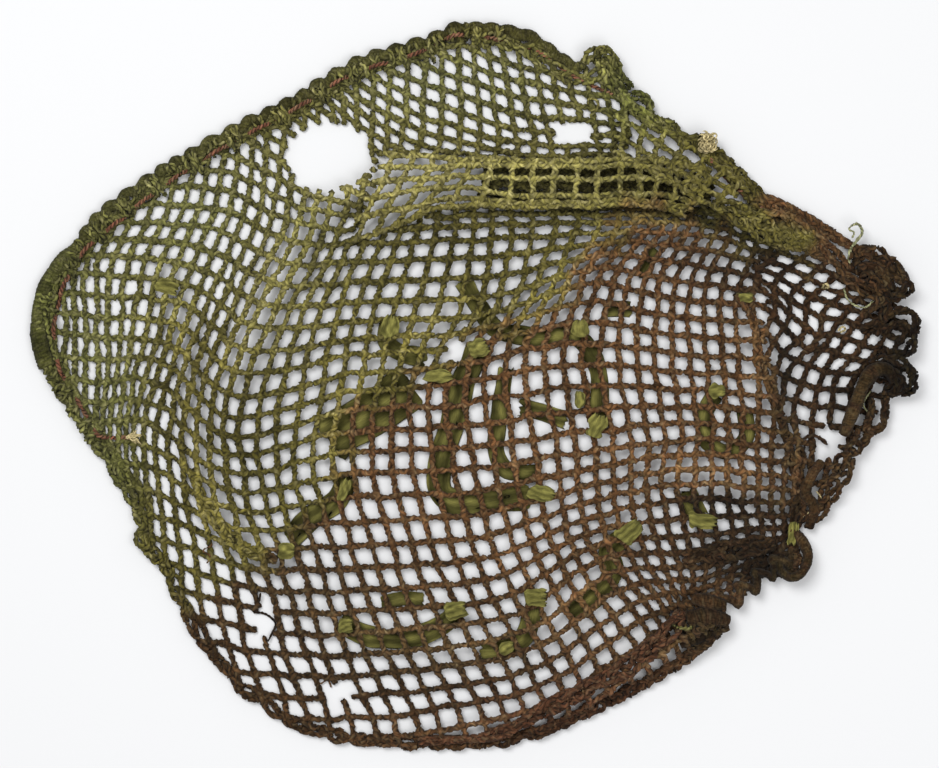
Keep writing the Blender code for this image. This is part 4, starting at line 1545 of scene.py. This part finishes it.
@dataclass
class EdgeWork:
    """The selvedge, gathers and rolls, made of the same yarn as the mesh.

    Attributes:
        lie: How the cloth lies.
        dye: Its colours.
        material: The yarn's finish.
        plied: Twist of a rope's strands, in mm a turn.
        rib: Spacing of the ribs on a felted tube, in mm.
        rib_depth: Depth of a rib, as a share of the tube's radius.
        rounds: Points for each turn of a strand.
    """

    lie: Lie
    dye: Dye
    material: bpy.types.Material
    plied: float = 10.2
    rib: float = 2.4
    rib_depth: float = 0.02
    rounds: int = 6

    def __post_init__(self) -> None:
        """Draws the unevenness of the gathers."""
        self.uneven = Wander(31)

    def rim(self, first: int, last: int, inset: float, scallop: float = 0.0) -> np.ndarray:
        """Works out part of the rim.

        Args:
            first: The row of RIM it starts at.
            last: The row it ends at.
            inset: How far in from the edge it is, in mm.
            scallop: How far it waves in and out, in mm.

        Returns:
            Rows of x, y and underside in mm, and of the direction inwards.
        """
        picked = [RIM[k % len(RIM)] for k in range(first - 1, last + 2)]
        fine = catmull([(point.x, point.y, point.lift) for point in picked], False, RIM_STEP)
        start = np.hypot(fine[:, 0] - picked[1].x, fine[:, 1] - picked[1].y).argmin()
        end = np.hypot(fine[:, 0] - picked[-2].x, fine[:, 1] - picked[-2].y).argmin()
        ahead = unit(np.gradient(fine[:, :2], axis=0))
        inward = np.column_stack([ahead[:, 1], -ahead[:, 0]])
        kernel = np.ones(RIM_BLUR) / RIM_BLUR
        inward = unit(np.column_stack([np.convolve(inward[:, k], kernel, "same") for k in (0, 1)]))
        along = RIM_STEP * np.arange(len(fine))
        uneven = SCALLOP_WAVER.along(self.uneven, along, np.full(len(fine), 6.1))
        wave = inset + scallop * np.cos(FULL_TURN * along / SCALLOP + uneven)
        moved = fine[:, :2] + wave[:, None] * inward
        return np.column_stack([moved, fine[:, 2], inward])[start:end + 1]

    def tube(self, rows: np.ndarray, tone: float, number: int) -> Rod:
        """A felted tube with fine ribs round it.

        Args:
            rows: Rows of x, y, underside, width and height.
            tone: How light it is.
            number: Which rope this is.

        Returns:
            The tube.
        """
        rows = evenly(catmull(rows, False, ROPE_STEP), self.rib / 4)
        middle = np.column_stack([rows[:, :2], rows[:, 2] + rows[:, 4] / 2])
        side, _ = sides_of(middle)
        along = np.arange(len(rows)) * self.rib / 4
        salt = np.full(len(rows), number * ROPE_SALT)
        turn = FULL_TURN * along / self.rib + RIB_WAVER.along(self.uneven, along, salt)
        rib = 0.5 + 0.5 * np.cos(turn)
        swing = TUBE_THICK + TUBE_SWELL.along(self.uneven, along, salt) + self.rib_depth * rib
        uneven = 1 + TUBE_TONE.along(self.uneven, along, salt)
        # painted highlight on the ribs' crests, painted shade between them
        light = tone * (TUBE_LIGHT + RIB_HIGHLIGHT * rib) * uneven
        squash = float((rows[:, 4] / rows[:, 3]).mean())
        radius = rows[:, 3] / 2 * swing
        # painted shade on one side of the tube
        return Rod(middle, side, radius, light, squash, TUBE_SIDES, TUBE_SIDE_SHADE, TUBE_ROUGH)

    def rods(
        self, make: Make, tone: float, course: np.ndarray, number: int, shade: Shade | None = None
    ) -> list[Rod]:
        """Lays one rope's strands.

        Args:
            make: How the rope is made.
            tone: How light it is.
            course: Rows of x, y, underside, width and height.
            number: Which rope this is.
            shade: Its own colour, if it isn't dyed with the net.

        Returns:
            The plies of all its strands.
        """
        if make is Make.TUBE:
            return [self.tube(course, tone, number)]
        strands, lay, thick, plaited = make.value
        step = min(lay / 9, ROPE_STEP)
        rows = evenly(catmull(course, False, ROPE_STEP), step)
        place = np.column_stack([rows[:, :2], rows[:, 2] + rows[:, 4] / 2])
        side, over = sides_of(place)
        along = np.arange(len(rows)) * step
        salt = np.full(len(rows), number * ROPE_SALT)
        swing = 1 + ROPE_SWELL.along(self.uneven, along, salt)
        half = rows[:, 3:5] * swing[:, None] / 2 - thick * np.array((0.5, 0.4))
        half = np.maximum(half, LEAST_HALF)
        made = []
        for k in range(strands):
            drift = ROPE_DRIFT.along(self.uneven, along, salt + 11 * k)
            angle = FULL_TURN * (along / lay + k / strands + drift)
            if plaited:
                across, up = np.sin(angle), PLAIT_RISE * np.sin(2 * angle)
            else:
                across, up = np.cos(angle), np.sin(angle)
            middle = place + (half[:, 0] * across)[:, None] * side + (half[:, 1] * up)[:, None] * over
            middle[:, 2] = np.maximum(middle[:, 2], thick / 2)
            light = tone * (1 + STRAND_TONE.along(self.uneven, along, salt + 7 * k))
            share = 1 + STRAND_SWELL.along(self.uneven, along, salt + 5 * k)
            run = np.column_stack([middle, share, light])
            yarn = Yarn(thick, self.plied, rounds=self.rounds, shade=shade, chained=True)
            made += yarn.lay(run, 1.7 * k + number)
        return made

    def gathers(self, run: Gathers) -> list[Rod]:
        """Wraps loops of yarn over the selvedge's cord, and over the drawstring where it goes under.

        Args:
            run: The stretch of the edge.

        Returns:
            The plies of all the loops.
        """
        rim = self.rim(run.first, run.last, 0.0)
        string = string_line(1.0)
        made = []
        for half in range(2 * run.first_row, 2 * run.last_row + 1):
            at = string[np.abs(string[:, 2] - half / 2).argmin()]
            near = int(np.hypot(rim[:, 0] - at[0], rim[:, 1] - at[1]).argmin())
            if not 1 < near < len(rim) - 2:
                continue
            row = rim[near]
            way = unit(rim[near + 1:near + 2, :2] - rim[near - 1:near, :2])[0]
            over = half % 2 == 1
            for twin in OVER_TWINS if over else UNDER_TWINS:
                odd = self.uneven.at(np.array([half * 1.7, half + 30.5]), np.array([twin, twin]))
                reach = run.reach * (OVER_REACH if over else UNDER_REACH) * (1 + 0.3 * odd[1])
                wrap = []
                for share, up in GATHER_SECTION:
                    spot = row[:2] + row[3:5] * reach * share + way * (twin + 3.0 * odd[0] * share)
                    raised = up + (OVER_LIFT if over else UNDER_LIFT)
                    # painted light: a loop is lighter the higher it stands
                    tone = run.tone * (LOOP_TONE + LOOP_HEIGHT_LIGHT * up) * (1 + 0.25 * odd[0])
                    wrap.append((*spot, row[2] + raised, LOOP_THICK, tone))
                path = evenly(np.array(wrap), LOOP_STEP, space=3)
                yarn = Yarn(LOOP_WIDTH, self.plied, rounds=self.rounds, chained=True)
                made += yarn.lay(path, half + twin)
        return made

    def build(self) -> None:
        """Lays all the ropes and joins them in one piece."""
        rods = []
        for number, rope in enumerate(EDGE_ROPES):
            rim = self.rim(rope.first, rope.last, rope.inset, rope.scallop)
            size = np.tile((rope.width, rope.height), (len(rim), 1))
            rods += self.rods(rope.make, rope.tone, np.column_stack([rim[:, :3], size]), number)
        for number, rope in enumerate(FREE_ROPES, len(EDGE_ROPES)):
            rods += self.rods(rope.make, rope.tone, np.array(rope.course, float), number, rope.shade)
        for run in GATHERS:
            rods += self.gathers(run)
        mesh = rods_mesh("edge_work", rods, self.dye.colour, self.lie.centre)
        finish_piece("edge_work", mesh, self.material)


# ---------------------------------------------------------------- scrim tape


@dataclass(frozen=True)
class Strip:
    """A strip of scrim under the mesh: how wide its solid is, its creases, and its route, in mm."""

    width: float
    creases: float
    route: tuple[tuple[float, float], ...]


STRIPS = tuple(Strip(*row) for row in (
    (9, 1, ((-6, 57), (3, 43), (13, 31), (34, 27), (53, 28), (64, 17), (68, 2), (67, -17))),
    (12, 2, ((2, 20), (-6, 2), (-11, -18), (-18, -42), (-18, -57), (-6, -63), (12, -61), (30, -59))),
    (8, 1, ((17, 10), (14, -14), (12, -33), (18, -45), (33, -46))),
    (9, 2, ((25, -11), (38, -14), (50, -18))),
    (22, 2, ((-78, -29), (-62, -18), (-47, -9), (-34, 0))),
    (9, 1, ((-46, 34), (-47, 24), (-38, 18), (-26, 16))),
    (11, 2, ((-68, -48), (-74, -61), (-87, -70), (-100, -82))),
    (10, 2, ((-72, -127), (-57, -134), (-40, -136), (-22, -131), (-9, -122))),
    (7, 1, ((-50, -117), (-38, -114), (-27, -115))),
    (9, 1, ((4, -142), (16, -141), (27, -135), (31, -123), (34, -112))),
    (10, 2, ((84, -79), (73, -88), (75, -99), (66, -112), (52, -122))),
    (11, 1, ((114, -56), (121, -70))),
    (8, 1, ((130, -4), (124, -16), (126, -29), (137, -35), (147, -27), (146, -12))),
    (8, 1, ((69, 42), (85, 42))),
    (8, 1, ((90, 60), (97, 74))),
))


class LumpKind(Enum):
    """What a lump of scrim is, by the name that its plain solid has."""

    KNOT = "knot"
    FLAP = "flap"


@dataclass(frozen=True)
class Lump:
    """Scrim that is knotted or folded over the mesh, in mm, and turned by degrees."""

    kind: LumpKind
    x: float
    y: float
    length: float
    width: float
    turn: float


LUMPS = tuple(Lump(*row) for row in (
    (LumpKind.KNOT, 2, 21, 12, 10, 20), (LumpKind.FLAP, -20, 6, 16, 7, 0),
    (LumpKind.FLAP, 57, 31, 10, 9, 90), (LumpKind.KNOT, 66, -21, 14, 9, 70),
    (LumpKind.KNOT, 36, -57, 15, 9, -10), (LumpKind.FLAP, -70, -56, 13, 6, 70),
    (LumpKind.KNOT, -69, -128, 8, 8, 0), (LumpKind.KNOT, -11, -120, 13, 10, 10),
    (LumpKind.KNOT, 33, -113, 13, 10, 0), (LumpKind.KNOT, 83, -78, 14, 11, 40),
    (LumpKind.KNOT, 122, -72, 15, 10, -10), (LumpKind.FLAP, 130, -2, 9, 8, 0),
    (LumpKind.FLAP, 145, 48, 9, 6, 0), (LumpKind.KNOT, 171, -79, 12, 6, 80),
    (LumpKind.KNOT, -165, 54, 12, 8, -20), (LumpKind.FLAP, -45, 32, 15, 8, 80),
    (LumpKind.FLAP, 57, -7, 9, 6, 90), (LumpKind.FLAP, 17, -140, 9, 6, 20),
    (LumpKind.FLAP, -101, -88, 9, 8, 0),
))


# points that are averaged to lay a strip smoothly, and the least heights of it and its cloth, in mm
STRIP_BLUR = 7
STRIP_LOW = 0.5
CLOTH_LOW = 0.1
# no side of a lump's flat piece is under this, in mm
LEAST_LUMP = 10.5
# tape is gathered in a lump, so its flat piece is larger than the lump's length by its width
LUMP_TAPE = 1.4
LUMP_STEPS = 18
# how light tape is, the painted shade and highlight along a strip's creases and a lump's pleats, how much
# its threads change that, and the tone of its patches
STRIP_LIGHT, STRIP_CREASE_SHADE, STRIP_THREAD = 0.82, 0.3, 0.2
PATCH_LIGHT, PATCH_DEPTH = 0.85, 0.55
LUMP_LIGHT, LUMP_PLEAT_SHADE, LUMP_PATCH = 0.78, 0.22, 0.5
CREASE_WAVER = Waver(0.35, 14)
# a lump's half width at shares of its length, for a knot and for a folded end
PROFILE_AT = (0.0, 0.15, 0.33, 0.6, 0.85, 1.0)
KNOT_PROFILE = (0.62, 0.95, 0.8, 1.0, 0.95, 0.75)
FLAP_PROFILE = (0.55, 0.9, 1.0, 1.0, 0.9, 0.5)
KNOT_PLEATS = 7
FLAP_PLEATS = 4


@dataclass
class Scrim:
    """Strips of plain-woven cotton tape, creased lengthwise, and their knots and folded ends.

    Attributes:
        lie: How the cloth lies.
        material: The tape's finish.
        thick: Thickness of the tape as it lies doubled, in mm.
        spread: How much wider the tape lies than its solid.
        crease: Depth of a crease, in mm.
        ripple: How far it rises and sinks besides, in mm.
        waver: How unevenly wide it is, as a share.
        ragged: How far its cut ends stray from straight, in mm.
        clear: Room between a strip and the mesh above it, in mm.
        step: Length of a strip between two rows of points, in mm.
        around: Points round a strip or a knot.
        pleat: Depth of a knot's pleats, as a share of its size.
        gathered: A knot's length, as a share of its solid's.
        lumpy: How unevenly thick a knot is, as a share.
    """

    lie: Lie
    material: bpy.types.Material
    thick: float = 0.7
    spread: float = 1.12
    crease: float = 0.5
    ripple: float = 0.4
    waver: float = 0.14
    ragged: float = 1.6
    clear: float = 2.0
    step: float = 1.6
    around: int = 40
    pleat: float = 0.07
    gathered: float = 0.88
    lumpy: float = 0.24

    def __post_init__(self) -> None:
        """Draws the unevenness of the tape."""
        self.uneven = Wander(51)

    def strip(self, number: int, strip: Strip) -> None:
        """Lays one strip under the mesh.

        Args:
            number: Which strip it is.
            strip: Its sizes and route.
        """
        path = catmull(strip.route, False, self.step)
        ahead = unit(np.gradient(path, axis=0))
        aside = np.column_stack([-ahead[:, 1], ahead[:, 0]])
        room = self.lie.underside(path) - self.clear
        rise = blurred(np.clip(room, STRIP_LOW, LOFT), STRIP_BLUR)
        rows = np.column_stack([path, aside, rise])
        length = (len(rows) - 1) * self.step

        def shape(along: np.ndarray, around: np.ndarray) -> tuple:
            """Places, dyes and fibre coordinates of the strip, at shares along and round it."""
            spot = along * (len(rows) - 1)
            at = np.column_stack([np.interp(spot, np.arange(len(rows)), row) for row in rows.T])
            over = around < 0.5
            across = np.where(over, 4 * around - 1, 3 - 4 * around)
            run = along * length
            waver = 1 + self.waver * self.uneven.at(run / 9, across * 0.6 + 9 * number)
            wide = self.spread * strip.width / 2 * waver
            ragged = self.ragged * self.uneven.at(across * 4, 0 * run + number) * (2 * along - 1) ** 9
            stray = CREASE_WAVER.along(self.uneven, run, 0 * run)
            fold = FULL_TURN * (strip.creases * across / 2 + stray)
            edge = np.sqrt(np.clip(1 - across**4, 0.0, 1.0))
            up = self.crease * np.cos(fold) + self.ripple * self.uneven.at(run / 7 + 40, across * 1.5)
            place = at[:, :2] + at[:, 2:4] * (wide * across)[:, None]
            place[:, 0] += ragged * at[:, 3]
            place[:, 1] -= ragged * at[:, 2]
            z = at[:, 4] + up + np.where(over, 0.5, -0.5) * self.thick * edge
            thread = STRIP_THREAD * self.uneven.at(across * 9, run / 40)
            # painted shade and highlight along the creases
            light = STRIP_LIGHT + STRIP_CREASE_SHADE * np.cos(fold) + thread
            light *= PATCH_LIGHT + PATCH_DEPTH * self.uneven.at(run / 8 + 70, across + number)
            dyes = linear(Shade.SCRIM.value)[None, :] * light[:, None]
            fibres = np.column_stack([run * 0.12, across * strip.width / 2, 3.0 * over])
            return np.column_stack([place, np.maximum(z, CLOTH_LOW)]), dyes, fibres

        mesh = shaped_cloth(len(rows) - 1, self.around, shape, self.lie.centre)
        name = f"scrim_tape_{number}"
        piece = finish_piece(name, mesh, self.material, (f"scrim_strip_{number}",))

    def lump(self, number: int, lump: Lump) -> None:
        """Gathers one knot, or folds one end, over the mesh.

        Args:
            number: Which lump it is.
            lump: Its kind, sizes and place.
        """
        stands_for = f"scrim_{lump.kind.value}_{number}"
        low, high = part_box(stands_for)
        middle = (low[2] + high[2]) / MM / 2
        tall = (high[2] - low[2]) / MM
        is_knot = lump.kind is LumpKind.KNOT
        pleats = KNOT_PLEATS if is_knot else FLAP_PLEATS
        profile = KNOT_PROFILE if is_knot else FLAP_PROFILE
        turn = math.radians(lump.turn)

        def shape(along: np.ndarray, around: np.ndarray) -> tuple:
            """Places, dyes and fibre coordinates of the lump, at shares along and round it."""
            angle = FULL_TURN * around
            wide = np.interp(along, PROFILE_AT, profile)
            wobble = self.uneven.at(along * 2.5 + number, 0 * along + 3.3)
            fold = pleats * angle + 4.5 * wobble + number + 2.5 * along
            lumpy = self.lumpy * self.uneven.at(along * 3 + 9, number + np.sin(angle))
            size = 1 + self.pleat * np.cos(fold) + lumpy
            frayed = 0.09 * np.cos(11 * angle + number) * along**5
            frayed += 0.1 * self.uneven.at(np.cos(angle) + 4 * number, along)
            u = self.gathered * lump.length * (along - 0.5 + frayed)
            v = lump.width / 2 * wide * size * np.cos(angle)
            bow = 0.35 * np.sin(math.pi * along)
            z = middle + tall * (0.42 * wide * size * np.sin(angle) * (0.6 + bow))
            x = lump.x + u * math.cos(turn) - v * math.sin(turn)
            y = lump.y + u * math.sin(turn) + v * math.cos(turn)
            # painted shade and highlight along the pleats
            light = LUMP_LIGHT + LUMP_PLEAT_SHADE * np.cos(fold)
            light = light * (1 + LUMP_PATCH * self.uneven.at(along * 3, angle * 2.3 + number))
            dyes = linear(Shade.SCRIM_PALE.value)[None, :] * light[:, None]
            fibres = np.column_stack([u * 0.15, v, z])
            return np.column_stack([x, y, z]), dyes, fibres

        mesh = shaped_cloth(LUMP_STEPS, 2 * self.around, shape, self.lie.centre)
        name = f"scrim_gather_{number}"
        piece = finish_piece(name, mesh, self.material, (stands_for,))
        area = LUMP_TAPE * lump.length * lump.width
        wide = max(math.sqrt(area), LEAST_LUMP)
        area = min(area, wide**2)

    def build(self) -> None:
        """Makes every strip and lump."""
        for number, strip in enumerate(STRIPS, 1):
            self.strip(number, strip)
        for number, lump in enumerate(LUMPS, 1):
            self.lump(number, lump)


# ---------------------------------------------------------------- drawstring, tuft and threads


@dataclass
class Drawstring:
    """The red-brown cord that is threaded over and under the gathers of the selvedge.

    Attributes:
        lie: How the cloth lies.
        material: The cord's finish.
        yarn: What it is.
        high: Height of its middle where it shows over the mesh, in mm.
        low: Height of its middle where it runs under, in mm.
        step: Distance between the points of its path, in mm.
        hidden: Rows of its route between which it stays inside the hem.
        sunk: Share of its rise that is left there.
        steep: How steeply it goes up and down.
        stay_low: How much of the way it stays low, as a share.
        blur: Points of its path that are averaged, to round its bends.
    """

    lie: Lie
    material: bpy.types.Material
    yarn: Yarn = Yarn(2.9, 5.2, offset=0.24, shade=Shade.CORD)
    high: float = 7.6
    low: float = 1.7
    step: float = 1.3
    hidden: tuple[float, float] = (17.0, 22.5)
    sunk: float = 0.25
    steep: float = 1.6
    stay_low: float = 0.5
    blur: int = 3

    def path(self) -> np.ndarray:
        """Works out the cord's middle, which goes up at each row of its route and down between.

        Returns:
            Its places, in mm.
        """
        fine = string_line(self.step)
        beat = 0.5 + 0.5 * np.cos(FULL_TURN * fine[:, 2])
        first, last = self.hidden
        shown = np.where((fine[:, 2] < first) | (fine[:, 2] > last), 1.0, self.sunk)
        lift = self.lie.ground(fine[:, :2])
        up = smooth(self.steep * beat - self.stay_low)
        z = lift + self.low + (self.high - self.low) * up * shown
        return np.column_stack([fine[:, :2], blurred(z, self.blur)])

    def build(self) -> None:
        """Twists the cord."""
        path = self.path()
        steps = np.arange(len(path))
        rub = 1 + 0.25 * TWIST.at(steps / 5, np.full(len(path), 3.3))
        run = np.column_stack([path, np.ones(len(path)), rub])
        rods = self.yarn.lay(run, 0.0)
        mesh = rods_mesh("drawstring_cord", rods, lambda xyz: np.ones((len(xyz), 3)), self.lie.centre)
        piece = finish_piece("drawstring_cord", mesh, self.material, ("drawstring",))


@dataclass(frozen=True)
class Thread:
    """A loose thread: its colour and width, and its rows of x, y and z, in mm."""

    shade: Shade
    width: float
    rows: tuple[tuple[float, float, float], ...]


THREADS = tuple(Thread(*row) for row in (
    (Shade.BLACK_BROWN, 1.6, (
        (-115, -111, 4), (-116, -116, 3), (-119, -121, 2), (-114, -122, 1.2), (-110, -124, 1.2),
        (-107, -128, 1.2), (-109, -133, 2), (-111, -137, 3),
    )),
    (Shade.BROWN, 1.2, (
        (-145, -82, 4), (-141, -85, 4), (-146, -88, 4), (-142, -91, 4), (-144, -95, 3),
    )),
    (Shade.BROWN, 1.3, ((-86, -157, 3), (-83, -160, 2), (-79, -158, 1.5), (-77, -162, 1.5))),
    (Shade.PALE_GREEN, 2.2, (
        (201.5, 64, 6), (202, 73, 8), (205, 78, 9), (208.5, 83, 9), (206, 87.5, 10), (202.5, 86.5, 10),
    )),
    (Shade.PALE_GREEN, 1.3, ((203, 87, 10), (201, 84.5, 10), (204, 83, 10), (203, 80, 9))),
    (Shade.PALE_GREEN, 1.4, ((199, 53, 6), (201, 47, 6), (206, 43.5, 6), (211, 43, 7), (215, 47, 8))),
    (Shade.CREAM, 1.7, ((187, 53, 6), (189, 55.5, 6.5), (191, 54, 6), (188, 53, 6))),
    (Shade.CREAM, 1.5, ((196, 30, 5), (198, 32.5, 6), (200, 31, 5.5), (197, 29.5, 5))),
    (Shade.MOSS, 2.0, (
        (61, 152, 5), (62, 155, 6), (65, 155, 6), (67, 152, 6), (65.5, 149, 6), (62, 149, 5),
    )),
    (Shade.DARK_BROWN, 2.6, ((177, -28, 6), (182, -26, 7), (187, -28, 6), (190, -31, 4))),
    (Shade.SCRIM_PALE, 2.4, ((106, -127, 17), (110, -128.5, 19), (114, -129, 18), (117, -128, 16))),
    (Shade.PALE_GREEN, 1.1, ((213, -2, 9), (209, -9, 9), (212, -14, 8))),
    (Shade.CREAM, 1.0, ((184, -56, 7), (187, -61, 7), (182, -66, 6), (177, -70, 5))),
))


# a curl of the tuft: least and greatest size in mm, turns, height as a share, and tone
CURL_SIZE, CURL_TURNS, CURL_HEIGHT, CURL_TONE = (0.8, 2.4), (0.8, 1.6), (0.25, 0.8), (0.55, 1.1)
# a frayed strand: its length, and the least and greatest change to it, its spread and its lift in mm,
# how far it drops by its end, and its tone
FRAY_LENGTH, FRAY_CHANGE, FRAY_SPREAD, FRAY_LIFT = 6, (-2, 3), (-5, 4), (-0.4, 0.8)
FRAY_DROP, FRAY_TONE = 1.5, (0.6, 1.05)


@dataclass
class LooseEnds:
    """The tuft of frayed whipping yarn, the string's frayed end, and threads that have come loose.

    Attributes:
        lie: How the cloth lies.
        material: The fine yarn's finish.
        tuft: Middle of the tuft across the net, in mm.
        tuft_reach: Half its length and half its width, in mm.
        curls: How many curled strands it has.
        thread: Thickness of one of them, in mm.
        frays: How many strands the string's end has come apart into.
        string_end: Where they start, in mm.
        fray: Thickness of one of them, in mm.
    """

    lie: Lie
    material: bpy.types.Material
    tuft: tuple[float, float] = (125.0, 131.0)
    tuft_reach: tuple[float, float] = (3.6, 4.6)
    curls: int = 46
    thread: float = 0.85
    frays: int = 16
    string_end: tuple[float, float, float] = (-187.0, -27.0, 8.4)
    fray: float = 0.7

    def tuft_rods(self) -> list[Rod]:
        """Draws the tuft's curled strands, each about a turn that winds outwards.

        Returns:
            The strands.
        """
        random = np.random.default_rng(61)
        low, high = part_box("yarn_tuft")
        base, tall = low[2] / MM, (high[2] - low[2]) / MM
        rods = []
        for _ in range(self.curls):
            t = np.linspace(0.0, 1.0, 22)
            middle = np.array(self.tuft) + random.uniform(-1, 1, 2) * self.tuft_reach
            size = random.uniform(*CURL_SIZE) * (0.35 + 0.65 * t)
            angle = random.uniform(0, FULL_TURN) + FULL_TURN * random.uniform(*CURL_TURNS) * t
            x = middle[0] + size * np.cos(angle)
            y = middle[1] + size * np.sin(angle)
            z = base + tall * (random.uniform(*CURL_HEIGHT) + 0.15 * np.sin(angle * 1.3))
            tone = random.uniform(*CURL_TONE)
            line = np.column_stack([x, y, z])
            rods.append(self.single(line, self.thread, tone, Shade.CREAM))
        return rods

    def single(self, line: np.ndarray, width: float, tone: float, shade: Shade) -> Rod:
        """Makes one thin strand.

        Args:
            line: Its places, in mm.
            width: Its thickness, in mm.
            tone: How light it is.
            shade: Its colour.

        Returns:
            The strand.
        """
        ahead = unit(np.gradient(line, axis=0))
        # a strand may stand upright, so this isn't square to one
        side = unit(np.cross(ahead, UP + 0.01))
        taper = np.interp(np.linspace(0, 1, len(line)), (0, 0.15, 0.85, 1), (0.6, 1, 1, 0.5))
        light = tone * np.ones(len(line))
        # painted shade on one side of the strand
        return Rod(line, side, width / 2 * taper, light, groove=0.8, rough=0.1, shade=shade)

    def frayed_rods(self) -> list[Rod]:
        """Draws the strands fanned out from the drawstring's end.

        Returns:
            The strands.
        """
        random = np.random.default_rng(62)
        from_x, from_y, from_z = self.string_end
        rods = []
        for k in range(self.frays):
            t = np.linspace(0.0, 1.0, 12)
            spread = random.uniform(*FRAY_SPREAD)
            x = from_x + (FRAY_LENGTH + random.uniform(*FRAY_CHANGE)) * t
            y = from_y + spread * t**1.5 + 0.7 * np.sin(9 * t + k)
            z = from_z - FRAY_DROP * t + random.uniform(*FRAY_LIFT)
            tone = random.uniform(*FRAY_TONE)
            rods.append(self.single(np.column_stack([x, y, z]), self.fray, tone, Shade.CREAM))
        return rods

    def build(self) -> None:
        """Makes the tuft, the frayed end and the threads."""
        plain = np.ones_like
        mesh = rods_mesh("tuft_curls", self.tuft_rods(), plain, self.lie.centre)
        finish_piece("tuft_curls", mesh, self.material, ("yarn_tuft",))
        mesh = rods_mesh("frayed_end", self.frayed_rods(), plain, self.lie.centre)
        finish_piece("frayed_end", mesh, self.material)
        rods = []
        for number, thread in enumerate(THREADS):
            path = catmull(thread.rows, False, 1.0)
            path = np.column_stack([path, np.ones(len(path)), np.ones(len(path))])
            twisted = Yarn(thread.width, 2.5 * thread.width, offset=0.17, shade=thread.shade)
            rods += twisted.lay(path, number)
        mesh = rods_mesh("loose_threads", rods, plain, self.lie.centre)
        finish_piece("loose_threads", mesh, self.material)


# ---------------------------------------------------------------- the room


@dataclass(frozen=True)
class Lamp:
    """A soft square light that is turned to the net: its place and side in m, and its power in W."""

    name: str
    place: tuple[float, float, float]
    side: float
    power: float

    def make(self) -> None:
        """Adds the light."""
        light = bpy.data.lights.new(self.name, "AREA")
        light.size = self.side
        light.energy = self.power
        holder = add_object(self.name, light, self.place)
        holder.rotation_euler = (-Vector(self.place)).to_track_quat("-Z", "Y").to_euler()


@dataclass(frozen=True)
class Room:
    """A pale table top, soft lights and the camera straight above.

    Attributes:
        table_half: Half the table's side, in m.
        table_colour: Linear colour of its laminate.
        table_rough: How dull the laminate is.
        daylight: Strength of the even light from all round.
        lamps: The soft lights.
        height: The camera's height, in m.
        view: How wide a stretch of the table it takes in, in m.
        sensor: Width of the camera's sensor, in mm.
        aim: Where it looks, in mm across the net.
        far: How far it sees, in m.
    """

    table_half: float = 3.0
    table_colour: tuple[float, float, float] = (0.745, 0.75, 0.76)
    table_rough: float = 0.7
    daylight: float = 0.4
    lamps: tuple[Lamp, ...] = (
        Lamp("key", (-0.68, 0.82, 2.25), 1.1, 40.0),
        Lamp("fill", (0.6, -0.4, 1.75), 1.2, 14.0),
    )
    height: float = 1.6
    view: float = 0.507
    sensor: float = 36.0
    aim: tuple[float, float] = (-2.43, 1.62)
    far: float = 20.0

    def lay_table(self) -> None:
        """Adds the table top, of matt white laminate."""
        made = bmesh.new()
        bmesh.ops.create_grid(made, x_segments=1, y_segments=1, size=self.table_half)
        mesh = bpy.data.meshes.new("table_top")
        made.to_mesh(mesh)
        made.free()
        white = bpy.data.materials.new("white laminate")
        white.use_nodes = True
        shader = white.node_tree.nodes["Principled BSDF"]
        shader.inputs["Base Color"].default_value = (*self.table_colour, 1)
        shader.inputs["Roughness"].default_value = self.table_rough
        mesh.materials.append(white)
        add_object("table_top", mesh)

    def light(self) -> None:
        """Adds the even light and the lamps."""
        world = bpy.data.worlds.new("studio")
        world.use_nodes = True
        background = world.node_tree.nodes["Background"]
        background.inputs["Color"].default_value = (1, 1, 1, 1)
        background.inputs["Strength"].default_value = self.daylight
        bpy.context.scene.world = world
        for lamp in self.lamps:
            lamp.make()

    def set_camera(self, centre: np.ndarray) -> None:
        """Hangs the camera over the net.

        Args:
            centre: The net's middle, which is taken off, in mm.
        """
        camera = bpy.data.cameras.new("camera")
        camera.sensor_width = self.sensor
        camera.lens = self.sensor * self.height / self.view
        camera.clip_end = self.far
        place = ((self.aim[0] - centre[0]) * MM, (self.aim[1] - centre[1]) * MM, self.height)
        bpy.context.scene.camera = add_object("camera", camera, place)
        bpy.context.scene.view_settings.view_transform = "Standard"


def main() -> None:
    """Builds every piece in order."""
    lie = Lie()
    dye = Dye()
    room = Room()
    room.lay_table()
    room.light()
    room.set_camera(lie.centre)
    Drawstring(lie, ClothFinish("twisted cotton cord", fibre_mm=0.6, speckle=0.4).make()).build()
    cotton = ClothFinish("knitted cotton yarn").make()
    KnittedMesh(dye, cotton).build()
    EdgeWork(lie, dye, cotton).build()
    Scrim(lie, ClothFinish("plain woven cotton tape", fibre_mm=0.5, speckle=0.35).make()).build()
    LooseEnds(lie, ClothFinish("frayed whipping yarn", fibre_mm=0.4, speckle=0.3).make()).build()


if __name__ == "__main__":
    main()
